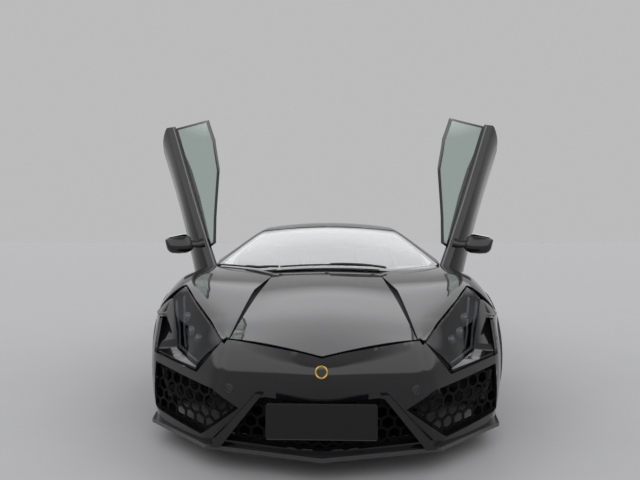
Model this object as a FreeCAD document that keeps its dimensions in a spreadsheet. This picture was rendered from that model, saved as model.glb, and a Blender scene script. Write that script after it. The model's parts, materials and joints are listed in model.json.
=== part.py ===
import FreeCAD, Part
import Sketcher
import math
import os

# Mid-engined two-seat supercar with upward-turning doors, built as separate panels and running gear.
# Frame: origin on the ground under the middle of the car, +Z up, +X the car's left, nose towards -Y.
# The doors are stored open, as they stand in the photograph. All sizes are millimetres.

Vector = FreeCAD.Vector
doc = FreeCAD.newDocument("supercar")
sheet = doc.addObject("Spreadsheet::Sheet", "dims")

# alias, value, what it is
SIZES = (
    ("overall_length", 4947, "nose to tail"),
    ("wheelbase", 2779, "front axle to rear axle"),
    ("front_overhang", 1143, "nose to front axle"),
    ("ground_clearance", 115, "ground to undertray"),
    ("roof_crown", 1160, "ground to the highest point of the roof"),
    ("panel_wall", 12, "wall of a body panel"),
    ("canopy_wall", 34, "wall of the roof and its pillars"),
    ("door_wall", 95, "whole thickness of a door"),
    ("glass_wall", 6, "thickness of glass"),
    ("shut_gap", 6, "gap round a door or lid"),
    ("seam", 0.5, "gap between two fixed panels"),
    ("front_track", 1716, "between the front wheels' middles"),
    ("rear_track", 1666, "between the rear wheels' middles"),
    ("front_tyre_radius", 347, "front tyre outside"),
    ("front_tyre_width", 265, "front tyre"),
    ("front_rim_radius", 262, "front rim flange"),
    ("rear_tyre_radius", 370, "rear tyre outside"),
    ("rear_tyre_width", 340, "rear tyre"),
    ("rear_rim_radius", 276, "rear rim flange"),
    ("arch_clearance", 35, "tyre to wheel arch"),
    ("hub_radius", 30, "wheel hub shaft"),
    ("running_clearance", 0.05, "between a shaft and its bore"),
    ("disc_radius_front", 200, "front brake disc"),
    ("disc_radius_rear", 195, "rear brake disc"),
    ("disc_wall", 34, "brake disc thickness"),
    ("kingpin_radius", 14, "front ball-joint pins"),
    ("wishbone_radius", 13, "suspension arm tubes"),
    ("floor_wall", 40, "cabin floor"),
    ("sill_height", 300, "tub sill above the floor's underside"),
    ("sill_inner", 640, "half the cabin floor's width"),
    ("sill_outer", 822, "half the tub's width"),
    ("door_tilt", 22, "dip of the door hinge axis, degrees"),
    ("door_open", 68, "door opening, degrees"),
    ("hinge_back", 516, "front axle to door hinge"),
    ("hinge_height", 805, "ground to door hinge"),
    ("hinge_pin_radius", 10, "door hinge pin"),
    ("lid_pin_radius", 4, "bonnet and engine cover hinge pins"),
    ("hinge_across", 886, "car's middle to door hinge"),
    ("steering_wheel_radius", 178, "steering wheel"),
    ("column_radius", 20, "steering column"),
    ("seat_across", 370, "car's middle to the middle of a seat"),
    ("seat_width", 380, "seat cushion"),
    ("bolster_width", 80, "seat's side bolster"),
    ("console_width", 220, "centre console"),
    ("dash_width", 1540, "dashboard"),
    ("tray_wall", 8, "undertray"),
    ("lip_wall", 18, "front splitter"),
    ("diffuser_width", 1280, "diffuser"),
    ("fin_wall", 10, "diffuser fin"),
    ("fin_count", 6, "diffuser fins"),
    ("wing_span", 1080, "rear wing"),
    ("stay_wall", 16, "rear wing stay"),
    ("pipe_wall", 6, "tailpipe"),
    ("pipe_across", 96, "car's middle to a tailpipe"),
    ("rim_hub_radius", 82, "rim's hub"),
    ("exhaust_radius", 62, "tailpipe outside"),
    ("spoke_count", 5, "pairs of spokes in a rim"),
    ("mesh_pitch", 58, "across a grille's honeycomb, from cell to cell"),
    ("mesh_bar", 12, "bar between two cells of a grille"),
    ("mesh_edge", 10, "plain edge round a grille's honeycomb"),
)
for number, (alias, value, note) in enumerate(SIZES, start=1):
    sheet.set("A%d" % number, note)
    sheet.set("B%d" % number, str(value))
    sheet.setAlias("B%d" % number, alias)
doc.recompute()


def size(alias):
    return float(getattr(sheet, alias))


WALL = size("panel_wall")
GAP = size("shut_gap")
SEAM = size("seam")
PLAY = size("running_clearance")
NOSE = -size("overall_length") / 2
TAIL = size("overall_length") / 2
FRONT_AXLE = NOSE + size("front_overhang")
REAR_AXLE = FRONT_AXLE + size("wheelbase")
FLOOR = size("ground_clearance")
ROOF = size("roof_crown")
FRONT_ARCH = size("front_tyre_radius") + size("arch_clearance")
REAR_ARCH = size("rear_tyre_radius") + size("arch_clearance")
ANCHOR = {"nose": NOSE, "front": FRONT_AXLE, "rear": REAR_AXLE, "tail": TAIL}

# Half widths and heights of the body's side lines, one row per station from nose to tail
SIDE = (
    # anchor, behind, crest x, z, waist x, z, lower x, z
    ("nose", 60, 440, 508, 560, 420, 600, 250),
    ("nose", 258, 447, 551, 690, 450, 720, 260),
    ("nose", 420, 545, 617, 790, 480, 790, 270),
    ("front", -520, 680, 697, 905, 560, 900, 280),
    ("front", -320, 790, 765, 955, 605, 940, 290),
    ("front", -150, 840, 797, 984, 628, 965, 300),
    ("front", 0, 862, 808, 997, 640, 985, 300),
    ("front", 200, 876, 812, 995, 650, 975, 300),
    ("front", 480, 886, 814, 978, 655, 950, 300),
    ("front", 900, 898, 822, 958, 655, 936, 300),
    ("front", 1330, 904, 838, 952, 655, 932, 300),
    ("rear", -1100, 906, 860, 962, 664, 936, 300),
    ("rear", -700, 914, 902, 990, 690, 958, 300),
    ("rear", -330, 922, 944, 1008, 712, 984, 304),
    ("rear", 0, 918, 962, 1016, 724, 996, 312),
    ("rear", 350, 892, 960, 1004, 728, 976, 345),
    ("tail", -300, 850, 948, 958, 716, 925, 385),
    ("tail", -50, 806, 934, 902, 700, 872, 430),
)

# The bonnet's edge beside each slot, and its middle line; the cowl goes on behind it
BONNET = (
    # anchor, behind, edge x, z, middle z
    ("nose", 60, 436, 512, 514),
    ("nose", 258, 425, 556, 582),
    ("nose", 420, 413, 602, 630),
    ("front", -520, 400, 652, 676),
    ("front", -320, 384, 699, 720),
    ("front", -150, 369, 733, 751),
    ("front", 0, 362, 756, 770),
    ("front", 200, 356, 778, 790),
    ("front", 480, 350, 800, 808),
)

# The tail's upper deck: the edge beside the engine cover, and the middle line
DECK = (
    # anchor, behind, edge x, z, middle z
    ("rear", -1200, 568, 1110, 1158),
    ("rear", -1100, 566, 1100, 1150),
    ("rear", -700, 546, 1058, 1100),
    ("rear", -330, 532, 1012, 1048),
    ("rear", 0, 520, 978, 1004),
    ("rear", 350, 508, 954, 970),
    ("tail", -300, 496, 942, 952),
    ("tail", -50, 486, 932, 940),
)

# Glasshouse: the cant rail, how far the middle line lies under the roof's crown, and the belt
CANOPY = (
    # anchor, behind, cant x, z, crown drop, belt x, z
    ("front", 100, 905, 662, 400, 960, 600),
    ("front", 460, 842, 818, 276, 905, 740),
    ("front", 830, 722, 958, 146, 884, 770),
    ("front", 1180, 606, 1080, 40, 880, 790),
    ("front", 1430, 574, 1116, 0, 882, 806),
    ("front", 1700, 566, 1106, 8, 886, 830),
    ("front", 1900, 560, 1086, 24, 890, 850),
)

# Front bumper outline at each height: places are behind the nose
BUMPER = (
    # z, middle, knee x, knee, corner x, corner, end x
    (115, 62, 500, 186, 838, 480, 905),
    (215, 46, 480, 160, 862, 492, 925),
    (330, 22, 462, 138, 880, 512, 938),
    (430, 0, 446, 148, 884, 530, 946),
    (485, 22, 440, 184, 880, 545, 950),
    (530, 92, 436, 226, 872, 560, 952),
    (600, 210, 428, 330, 860, 590, 956),
)

# Rear bumper outline at each height: places are ahead of the tail
TAIL_PIECE = (
    # z, middle, knee x, knee, corner x, corner, end x
    (400, 95, 520, 100, 850, 114, 880),
    (520, 40, 540, 52, 860, 92, 898),
    (660, 8, 560, 26, 860, 84, 912),
    (760, 0, 560, 20, 850, 80, 902),
    (880, 14, 540, 30, 800, 84, 850),
    (926, 28, 520, 42, 765, 88, 822),
)

# Headlamp's lower edge, behind the nose; its upper edge is the wing's crest
LAMP = (
    # behind, x, z
    (262, 572, 420),
    (420, 742, 432),
    (530, 856, 446),
    (700, 868, 590),
    (790, 872, 668),
)


def station_y(row):
    return ANCHOR[row[0]] + row[1]


def between(rows, y, column):
    """One column of a station table at any y, along a smooth curve through the rows."""
    ys = [station_y(row) for row in rows]
    last = len(rows) - 1
    y = min(max(y, ys[0]), ys[last])
    i = max(k for k in range(last) if ys[k] <= y)
    slope = []
    for k in (i, i + 1):
        a, b = max(k - 1, 0), min(k + 1, last)
        slope.append((rows[b][column] - rows[a][column]) / (ys[b] - ys[a]))
    span = ys[i + 1] - ys[i]
    part = (y - ys[i]) / span
    rise = rows[i + 1][column] - rows[i][column]
    curve = part * part * (3 - 2 * part)
    bend = part * (part - 1) * ((part - 1) * span * slope[0] + part * span * slope[1])
    return rows[i][column] + rise * curve + bend


# Body line, its table, and its first column there
LINES = {
    "crest": (SIDE, 2),
    "waist": (SIDE, 4),
    "lower": (SIDE, 6),
    "slot": (BONNET, 2),
    "deck": (DECK, 2),
}


def body_point(name, y):
    """Half width and height of one body line at y."""
    rows, column = LINES[name]
    return (between(rows, y, column), between(rows, y, column + 1))


def offset(points, distance):
    """An open line in a plane moved sideways to its right by distance."""
    moved = []
    for i, (a, b) in enumerate(points):
        before = points[max(i - 1, 0)]
        after = points[min(i + 1, len(points) - 1)]
        first = (a - before[0], b - before[1]) if i else (after[0] - a, after[1] - b)
        second = (after[0] - a, after[1] - b) if i < len(points) - 1 else first
        normals = []
        for du, dv in (first, second):
            length = math.hypot(du, dv)
            normals.append((dv / length, -du / length))
        nu, nv = normals[0][0] + normals[1][0], normals[0][1] + normals[1][1]
        scale = 2 / (nu * nu + nv * nv)
        moved.append((a + nu * scale * distance, b + nv * scale * distance))
    return moved


def polygon(points):
    return Part.makePolygon(points + points[:1])


def section(points, y):
    """A closed wire in the plane at y, from (x, z) points."""
    return polygon([Vector(x, y, z) for x, z in points])


def level(points, z):
    """A closed wire in the plane at z, from (x, y) points."""
    return polygon([Vector(x, y, z) for x, y in points])


def loft(wires, ruled=False):
    return Part.makeLoft(wires, True, ruled)


def skin(lines, ys, wall):
    """A panel between body lines, lofted through sections at the given places along the car."""
    wires = []
    for y in ys:
        outer = [body_point(line, y) for line in lines]
        inner = offset(outer, -wall)
        inner[-1] = (outer[-1][0], inner[-1][1])
        wires.append(section(outer + inner[::-1], y))
    return loft(wires)


def lid(rows, ys, inset, wall):
    """A panel across the car between the two edges of a table's rows."""
    wires = []
    for y in ys:
        x, z, middle = (between(rows, y, column) for column in (2, 3, 4))
        top = [(inset - x, z), (0, middle), (x - inset, z)]
        under = [(across_x, low) for (across_x, high), (inner_x, low) in zip(top, offset(top, wall))]
        wires.append(section(top + under[::-1], y))
    return loft(wires)


def mirrored(shape):
    return shape.mirror(Vector(0, 0, 0), Vector(1, 0, 0))


def both_sides(shape):
    return Part.makeCompound([shape, mirrored(shape)])


def block(low, high):
    return Part.makeBox(high[0] - low[0], high[1] - low[1], high[2] - low[2], Vector(*low))


def side_prism(points, x_low, x_high):
    """A prism across the car from a side view outline of (y, z) points."""
    face = Part.Face(polygon([Vector(x_low, y, z) for y, z in points]))
    return face.extrude(Vector(x_high - x_low, 0, 0))


def plan_prism(points, z_low, z_high):
    """An upright prism from a plan outline of (x, y) points."""
    return Part.Face(level(points, z_low)).extrude(Vector(0, 0, z_high - z_low))


def front_prism(points, y_low, y_high):
    """A prism along the car from a front view outline of (x, z) points."""
    return Part.Face(section(points, y_low)).extrude(Vector(0, y_high - y_low, 0))


def symmetric(points):
    """A closed outline from its half at +X, which starts and ends on the middle line."""
    return points + [(-a, b) for a, b in reversed(points) if abs(a) > 1e-6]


def grown(points, distance):
    """A closed outline made larger on every side."""
    count = len(points)
    area = sum(points[i - 1][0] * points[i][1] - points[i][0] * points[i - 1][1] for i in range(count))
    loop = offset([points[-1]] + points + [points[0]], distance if area > 0 else -distance)
    return loop[1:-1]


def bar(radius, a, b):
    """A round bar from a to b."""
    return Part.makeCylinder(radius, a.distanceToPoint(b), a, b - a)


def across(radius, x_low, x_high, y, z):
    """A round bar across the car."""
    return bar(radius, Vector(x_low, y, z), Vector(x_high, y, z))


def places(first, last, count):
    return [first + (last - first) * k / (count - 1) for k in range(count)]


def fused(shapes):
    return shapes[0].multiFuse(shapes[1:]).removeSplitter()


def innermost(shape):
    """Of the solids a cut leaves, the one nearest the middle of the car."""
    return min(shape.Solids, key=lambda solid: abs(solid.CenterOfMass.x))


def lid_hinge(lid_shape, carrier, y, z, x, drop, reach):
    """A lid's two lugs, on pins between ears of the carrier, each pair in a pocket of both panels.

    Drop is how far the panels lie below the pivot there; reach is +1 where the lid lies behind it.
    """
    pin, lug = size("lid_pin_radius"), size("lid_pin_radius") + 5

    def arm(inner, outer, way):
        low, high = sorted((inner, outer))
        points = [(y, z - 6), (y, z + 6), (y + 20 * way, z - drop), (y + 20 * way, z - drop - 14)]
        return across(lug, low, high, y, z).fuse(side_prism(points, low, high))

    for side in (-1, 1):
        low, high = sorted((side * (x - 26), side * (x + 26)))
        pocket = block((low, y - lug - 5, z - 60), (high, y + lug + 5, z + 40))
        lugs = arm(side * (x - 11), side * (x + 11), reach).cut(across(pin + PLAY, low, high, y, z))
        ears = fused([across(pin, low + 4, high - 4, y, z), arm(side * (x - 22), side * (x - 16), -reach),
                      arm(side * (x + 16), side * (x + 22), -reach)])
        lid_shape = fused([lid_shape.cut(pocket), lugs])
        carrier = fused([carrier.cut(pocket), ears])
    return lid_shape, carrier


nodes = []


def listed(item, label):
    """Names a document object and adds it to what is written out."""
    item.Label = label
    nodes.append(item)
    return item


# Views a sketch can lie in: plan (x, y), front (x, z) and side (y, z)
VIEWS = {"plan": "XY_Plane", "front": "XZ_Plane", "side": "YZ_Plane"}


def body(label):
    return doc.addObject("PartDesign::Body", label)


def sketch(owner, view, loops, at, origin=(0, 0), radius=None):
    """Closed outlines, or a circle about the origin, in a view's plane at a place along its normal."""
    made = owner.newObject("Sketcher::SketchObject", owner.Name + "_sketch")
    plane = next(item for item in owner.Origin.OriginFeatures if item.Role == VIEWS[view])
    made.AttachmentSupport = [(plane, "")]
    made.MapMode = "FlatFace"
    lift = -at if view == "front" else at
    made.AttachmentOffset = FreeCAD.Placement(Vector(origin[0], origin[1], lift), FreeCAD.Rotation())
    for points in loops:
        corners = [Vector(a, b, 0) for a, b in points]
        for start, end in zip(corners, corners[1:] + corners[:1]):
            made.addGeometry(Part.LineSegment(start, end), False)
    if radius:
        made.addGeometry(Part.Circle(Vector(0, 0, 0), Vector(0, 0, 1), 50), False)
        made.addConstraint(Sketcher.Constraint("Coincident", 0, 3, -1, 1))
        made.addConstraint(Sketcher.Constraint("Radius", 0, 50))
        made.setExpression("Constraints[1]", radius)
    return made


def pad(owner, view, loops, at, length, **circle):
    """A pad towards +X, +Y or +Z from a sketch; its length is an expression of the sizes."""
    made = owner.newObject("PartDesign::Pad", owner.Name + "_pad")
    made.Profile = sketch(owner, view, loops, at, **circle)
    made.setExpression("Length", str(length))
    made.Reversed = view == "front"
    owner.Tip = made
    return made


def turned(owner, loop, at, origin, axis="H_Axis"):
    """A full turn of a front view outline about an axis of its sketch."""
    profile = sketch(owner, "front", [loop], at, origin)
    made = owner.newObject("PartDesign::Revolution", owner.Name + "_turn")
    made.Profile = profile
    made.ReferenceAxis = (profile, [axis])
    made.Angle = 360
    owner.Tip = made
    return made


def repeated(owner, kind, original, count, amount):
    """Copies of a pad, round its sketch's normal or along it."""
    made = owner.newObject("PartDesign::" + kind, owner.Name + "_copies")
    made.Originals = [original]
    if kind == "PolarPattern":
        made.Axis = (original.Profile[0], ["N_Axis"])
        made.Angle = amount
    else:
        made.Direction = (original.Profile[0], ["N_Axis"])
        made.setExpression("Length", amount)
    made.setExpression("Occurrences", count)
    owner.Tip = made
    return made


def trimmed(label, base, tool):
    """A piece less what another takes up."""
    made = doc.addObject("Part::Cut", label)
    made.Base = base
    made.Tool = tool
    return listed(made, label)


def feature(label, shape):
    """A document object holding a shape, under the name its file gets."""
    node = doc.addObject("Part::Feature", label)
    solids = [solid for solid in shape.Solids if solid.Volume > 1000]
    node.Shape = solids[0] if len(solids) == 1 else Part.makeCompound(solids)
    return listed(node, label)


def pair(label, shape):
    """The same piece on both sides, as two nodes."""
    feature(label + "_left", shape)
    feature(label + "_right", mirrored(shape))


# Wheel openings, as round bars through the flanks
front_hole = across(FRONT_ARCH, 540, 1100, FRONT_AXLE, size("front_tyre_radius"))
rear_hole = across(REAR_ARCH, 630, 1100, REAR_AXLE, size("rear_tyre_radius"))

# Volume under the bonnet, wings and belt, which trims what stands on it
deck_wires = []
for y in [station_y(row) for row in SIDE[:9]] + places(FRONT_AXLE + 900, FRONT_AXLE + 1900, 4):
    half = [body_point(line, y) for line in ("lower", "waist", "crest")]
    ridge = between(BONNET, y, 4) if y < FRONT_AXLE + 481 else half[2][1] - 8
    slot = body_point("slot", y) if y < FRONT_AXLE + 481 else (600, ridge)
    outline = [(0, FLOOR), (half[0][0], FLOOR)] + half + [slot, (0, ridge)]
    deck_wires.append(section(symmetric(outline), y))
under_belt = loft(deck_wires, ruled=True)

# Bonnet: between the two slots, with a pointed leading edge
BONNET_BACK = FRONT_AXLE + 84
BONNET_CORNER = NOSE + 262


def bonnet_outline(grow):
    front, corner, back = NOSE + 78 - grow, BONNET_CORNER - grow, BONNET_BACK + grow
    return symmetric([(0, front), (432, corner), (600, corner), (600, back), (0, back)])


bonnet_ys = [NOSE + 60] + places(BONNET_CORNER, BONNET_BACK, 6)
bonnet = lid(BONNET, bonnet_ys, GAP, 22).common(plan_prism(bonnet_outline(0), 300, 1000))

# Door outline in side view, measured behind the front axle and above the ground
DOOR_SIDE = ((476, 960), (476, 790), (566, 300), (1600, 300), (1722, 580), (1792, 850), (1792, 960))


def door_side(grow):
    """The door's outline, grown by a gap on its front, rear and lower edges."""
    (fy, fz), (hy, hz), (by, bz), (ry, rz), (my, mz), (ty, tz), (uy, uz) = DOOR_SIDE
    g = grow
    points = [(fy - g, fz), (hy - g, hz), (by - g, bz - g), (ry + g, rz - g)]
    points += [(my + g, mz), (ty + g, tz), (uy + g, uz)]
    return [(FRONT_AXLE + y, z) for y, z in points]


# Front wings: from the slot over the crest and down the flank, open over the wheel
LAMP_BACK = NOSE + 811
wing_ys = [BONNET_CORNER, NOSE + 420] + [station_y(row) for row in SIDE[3:9]] + [FRONT_AXLE + 560]
wing = skin(("lower", "waist", "crest", "slot"), wing_ys, WALL)
lamp_hole = plan_prism(
    [(447, NOSE + 240), (545, NOSE + 420), (680, NOSE + 623), (786, LAMP_BACK), (1100, LAMP_BACK),
     (1100, NOSE + 240)], 100, 900
)
wing = wing.cut(front_hole).cut(lamp_hole).cut(side_prism(door_side(GAP), 500, 1100))
wing = wing.cut(block((300, FRONT_AXLE + 476 - GAP, 700), (1100, FRONT_AXLE + 700, 1000)))
wing_floor = block((500, FRONT_AXLE, 0), (1100, FRONT_AXLE + 700, 300))
wing = wing.cut(wing_floor)
pair("wing", wing)

# Cowl: from the bonnet back under the foot of the windscreen, with the bonnet's hinges
COWL_BACK = FRONT_AXLE + 330
cowl = lid(BONNET, places(BONNET_BACK + GAP, COWL_BACK, 4), SEAM, WALL).cut(wing).cut(mirrored(wing))
LID_PIVOT = (BONNET_BACK + GAP / 2, between(BONNET, BONNET_BACK, 4))
bonnet, cowl = lid_hinge(bonnet, cowl, LID_PIVOT[0], LID_PIVOT[1], 290, 12, -1)
feature("bonnet", bonnet)
feature("cowl", cowl)

# Headlamps: between the wing's crest and the bumper's ledge
lamp_wires = []
for behind, x, z in LAMP:
    crest = body_point("crest", NOSE + behind)
    outer = [(x, z), (crest[0] + 8, crest[1] - 12)]
    inner = offset(outer, -34)
    lamp_wires.append(section(outer + inner[::-1], NOSE + behind + GAP))
headlamp = loft(lamp_wires).cut(wing)


# Front bumper: thin outlines lofted upwards, cut for the lamps, the intakes and the wheels
def outline_shell(rows, end, place, inward, wall):
    """A wall lofted through a table of plan outlines, moved inward and thickened by wall."""
    wires = []
    for z, middle, knee_x, knee, corner_x, corner, end_x in rows:
        half = [(0, place(middle)), (knee_x, place(knee)), (corner_x, place(corner)), (end_x, end)]
        line = [(-x, y) for x, y in half[:0:-1]] + half
        side = 1 if place(0) > 0 else -1
        outer, inner = offset(line, side * inward), offset(line, side * (inward + wall))
        wires.append(level(outer + inner[::-1], z))
    return loft(wires)


def behind_nose(distance):
    return NOSE + distance


def ahead_of_tail(distance):
    return TAIL - distance


BUMPER_WALL = 16
BUMPER_END = LAMP_BACK - SEAM
SIDE_INTAKE = [(478, 362), (838, 398), (850, 172), (540, 142), (352, 292)]
MIDDLE_INTAKE = symmetric([(0, 338), (236, 352), (300, 330), (478, 140), (0, 132)])
LAMP_OPENING = [(440, 398), (862, 437), (872, 720), (872, 900), (440, 900)]

bumper = outline_shell(BUMPER, BUMPER_END, behind_nose, 0, BUMPER_WALL)
bumper = bumper.cut(plan_prism(bonnet_outline(GAP), 420, 1000)).cut(front_hole).cut(mirrored(front_hole))
for opening in (SIDE_INTAKE, LAMP_OPENING):
    cutter = front_prism(opening, NOSE - 50, LAMP_BACK + 100)
    bumper = bumper.cut(cutter).cut(mirrored(cutter))
bumper = bumper.cut(front_prism(MIDDLE_INTAKE, NOSE - 50, NOSE + 400)).cut(wing).cut(mirrored(wing))
bumper = bumper.cut(block((-1200, BUMPER_END, 0), (1200, BUMPER_END + 200, 1000)))
feature("front_bumper", bumper)
pair("headlamp", headlamp.cut(bumper))

def honeycomb(outline, y_low, y_high):
    """Six-sided cells in rows over a front view outline, less its plain edge, as prisms along the car."""
    pitch, radius = size("mesh_pitch"), (size("mesh_pitch") - size("mesh_bar")) / math.sqrt(3)
    xs, zs = [x for x, z in outline], [z for x, z in outline]
    cells = []
    rise = pitch * math.sqrt(3) / 2
    for row in range(int((max(zs) - min(zs)) / rise) + 2):
        for column in range(int((max(xs) - min(xs)) / pitch) + 2):
            x, z = min(xs) + pitch * (column + 0.5 * (row % 2)), min(zs) + rise * row
            turns = [math.radians(60 * k) for k in range(6)]
            corners = [(x + radius * math.sin(turn), z + radius * math.cos(turn)) for turn in turns]
            cells.append(front_prism(corners, y_low, y_high))
    return Part.makeCompound(cells).common(front_prism(grown(outline, -size("mesh_edge")), y_low, y_high))


# Grilles: honeycomb panels behind the three intakes
grille_shell = outline_shell(BUMPER[:4], BUMPER_END - 100, behind_nose, BUMPER_WALL, 8)
grille_shell = grille_shell.cut(bumper)
side_grille = grille_shell.common(front_prism(grown(SIDE_INTAKE, 9), NOSE, NOSE + 700))
middle_grille = grille_shell.common(front_prism(grown(MIDDLE_INTAKE, 9), NOSE, NOSE + 600))
side_mesh = side_grille.cut(honeycomb(SIDE_INTAKE, NOSE, NOSE + 700))
middle_mesh = middle_grille.cut(honeycomb(MIDDLE_INTAKE, NOSE, NOSE + 600))
feature("front_grilles", Part.makeCompound([middle_mesh] + both_sides(side_mesh).Solids))

# Blades: the slanting bars between the middle and side intakes
blade_low = level([(438, NOSE + 128), (486, NOSE + 140), (500, NOSE + 225), (450, NOSE + 215)], 116)
blade_high = level([(246, NOSE + 60), (274, NOSE + 66), (290, NOSE + 150), (258, NOSE + 142)], 366)
blade = loft([blade_low, blade_high], ruled=True).cut(bumper).cut(middle_grille).cut(side_grille)
blade = min(blade.Solids, key=lambda solid: solid.CenterOfMass.y)
feature("nose_blades", both_sides(blade))

# Plate holder: a bare flat plate with two screw holes, on a bracket from the grille
PLATE_BACK = NOSE + 22
bracket = block((-60, PLATE_BACK, 240), (60, NOSE + 80, 300))
plate = block((-220, NOSE + 14, 200), (220, PLATE_BACK, 344)).fuse(bracket)
for x in (-160, 160):
    plate = plate.cut(bar(3, Vector(x, NOSE, 272), Vector(x, NOSE + 60, 272)))
plate = plate.cut(middle_grille).cut(bumper)
feature("plate_holder", max(plate.Solids, key=lambda solid: solid.Volume))

# Splitter: a flat lip under the bumper, ahead of the front wheels
low_row = BUMPER[0]
lip = [(0, NOSE + 40), (low_row[2] + 8, NOSE + low_row[3] - 20), (low_row[4] + 14, NOSE + low_row[5] - 14),
       (low_row[6] + 4, BUMPER_END), (low_row[6] - 60, BUMPER_END), (low_row[4] - 90, NOSE + 560),
       (low_row[2] - 20, NOSE + 300), (0, NOSE + 220)]
splitter = body("front_splitter")
pad(splitter, "plan", [symmetric(lip)], FLOOR - size("lip_wall"), "dims.lip_wall")
listed(splitter, "front_splitter")


# Glasshouse: closed arcs from belt over the cant rails, hollowed by its wall
def canopy_wires(outside, inside):
    wires = []
    for row in CANOPY:
        y = station_y(row)
        cant_x, cant_z, drop, belt_x, belt_z = row[2:]
        crown = ROOF - drop
        edges = []
        for depth in (outside, inside):
            shift = offset([(belt_x, belt_z), (cant_x, cant_z), (0, crown)], -depth)
            belt, cant = shift[0], shift[1]
            points = [Vector(belt[0], y, belt[1]), Vector(cant[0], y, cant[1]), Vector(0, y, crown - depth)]
            edges.append(points)
        (b, c, m), (bi, ci, mi) = edges

        def other(v):
            return Vector(-v.x, v.y, v.z)

        line = Part.LineSegment
        loop = [line(b, c), Part.Arc(c, m, other(c)), line(other(c), other(b)), line(other(b), other(bi)),
                line(other(bi), other(ci)), Part.Arc(other(ci), mi, ci), line(ci, bi), line(bi, b)]
        wires.append(Part.Wire([edge.toShape() for edge in loop]))
    return wires


def windscreen_outline(inset):
    half = [(0, FRONT_AXLE - 200)]
    for behind, pillar in ((100, 30), (460, 44), (830, 46), (1160, 48)):
        y = FRONT_AXLE + behind
        half.append((between(CANOPY, y, 2) - pillar - inset, y - (inset if behind > 1000 else 0)))
    half.append((0, FRONT_AXLE + 1170 - inset))
    return symmetric(half)


# Side window in side view, measured like the door's outline
WINDOW_SIDE = (
    (652, 640), (652, 876), (830, 930), (1180, 1052), (1430, 1088), (1650, 1080), (1786, 862), (1786, 640)
)


def window_side(inset):
    g = inset
    shifts = ((g, 0), (g, -g), (g, -g), (0, -g), (0, -g), (-g, -g), (-g, 0), (-g, 0))
    return [(FRONT_AXLE + y + dy, z + dz) for (y, z), (dy, dz) in zip(WINDOW_SIDE, shifts)]


ROOF_BACK = [(1792, 600), (1792, 866), (1788, 890), (1700, 1100), (1700, 1300), (2300, 1300), (2300, 600)]
roof_back = [(FRONT_AXLE + y, z) for y, z in ROOF_BACK]
canopy = loft(canopy_wires(0, size("canopy_wall")))
under_glass = under_belt.translated(Vector(0, 0, 1.9))
roof = canopy.cut(plan_prism(windscreen_outline(0), 500, 1300)).cut(under_glass)
roof = roof.cut(side_prism(roof_back, -1200, 1200))
side_window = side_prism(window_side(0), 300, 1200)
roof = roof.cut(side_window).cut(mirrored(side_window))
roof = roof.cut(block((-1200, FRONT_AXLE - 300, 0), (1200, FRONT_AXLE + 340, 1300)))
roof = roof.cut(block((-574, FRONT_AXLE + 1700, 0), (574, FRONT_AXLE + 2300, 1300)))
HINGE_ROOM = ((430, 600), (430, 844), (652, 884), (652, 600))
hinge_room = side_prism([(FRONT_AXLE + y, z) for y, z in HINGE_ROOM], 812, 1000)
roof = roof.cut(hinge_room).cut(mirrored(hinge_room))

glass = loft(canopy_wires(3, 3 + size("glass_wall")))
screen = glass.common(plan_prism(windscreen_outline(SEAM), 500, 1300)).cut(under_glass)
feature("windscreen", screen)


# Doors, modelled shut and then turned up about the hinge
HINGE = Vector(size("hinge_across"), FRONT_AXLE + size("hinge_back"), size("hinge_height"))
tilt = math.radians(size("door_tilt"))
HINGE_AXIS = Vector(math.cos(tilt), 0, -math.sin(tilt))


def opened(shape):
    """A left door's piece turned from shut to fully open."""
    turned = shape.copy()
    turned.rotate(HINGE, HINGE_AXIS, size("door_open"))
    return turned


DOOR_TOP_INSET = 68
door_wires = []
for y in places(FRONT_AXLE + 470, FRONT_AXLE + 1800, 7):
    lower, waist, crest = (body_point(line, y) for line in ("lower", "waist", "crest"))
    inner_top = (crest[0] - DOOR_TOP_INSET, crest[1] - 2)
    inner_low = (lower[0] - size("door_wall"), lower[1] - 30)
    door_wires.append(section([(lower[0] - 6, lower[1] - 30), waist, crest, inner_top, inner_low], y))
door = loft(door_wires).common(side_prism(door_side(0), 600, 1100))
hinge_pin = bar(size("hinge_pin_radius"), HINGE - HINGE_AXIS * 96, HINGE - HINGE_AXIS * 40)
door = fused([door, hinge_pin])
lug = block((792, HINGE.y - 22, 798), (811, HINGE.y + 22, 850))
hinge_bore = bar(size("hinge_pin_radius") + PLAY, HINGE - HINGE_AXIS * 130, HINGE)
roof = fused([roof, lug, mirrored(lug)]).cut(hinge_bore).cut(mirrored(hinge_bore))
pair("door", opened(door))

door_glass = glass.common(side_prism(window_side(GAP), 300, 1200))
door_glass = door_glass.cut(under_belt).cut(door)
pair("door_glass", opened(door_glass))

# Mirror: a stalk from the door's front corner and a housing outboard of it
MIRROR = FRONT_AXLE + 100
stalk_side = [(MIRROR + 560, 800), (MIRROR + 650, 800), (MIRROR + 640, 842), (MIRROR + 570, 838)]
stalk = side_prism(stalk_side, 868, 985)
housing_wires = []
HOUSING = (
    # x, front, back, bottom, top
    (958, 560, 664, 822, 876),
    (1010, 540, 672, 816, 906),
    (1118, 566, 678, 828, 902),
    (1138, 590, 676, 838, 886),
)
for x, y_front, y_back, z_low, z_high in HOUSING:
    middle = (z_low + z_high) / 2 + 4
    points = [(y_front, middle), (y_front + 34, z_low), (y_back, z_low + 4), (y_back, z_high - 4),
              (y_front + 40, z_high)]
    housing_wires.append(polygon([Vector(x, MIRROR + y, z) for y, z in points]))
housing = loft(housing_wires, ruled=True)
mirror = fused([stalk, housing]).cut(door)
pair("mirror", opened(mirror))

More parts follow.
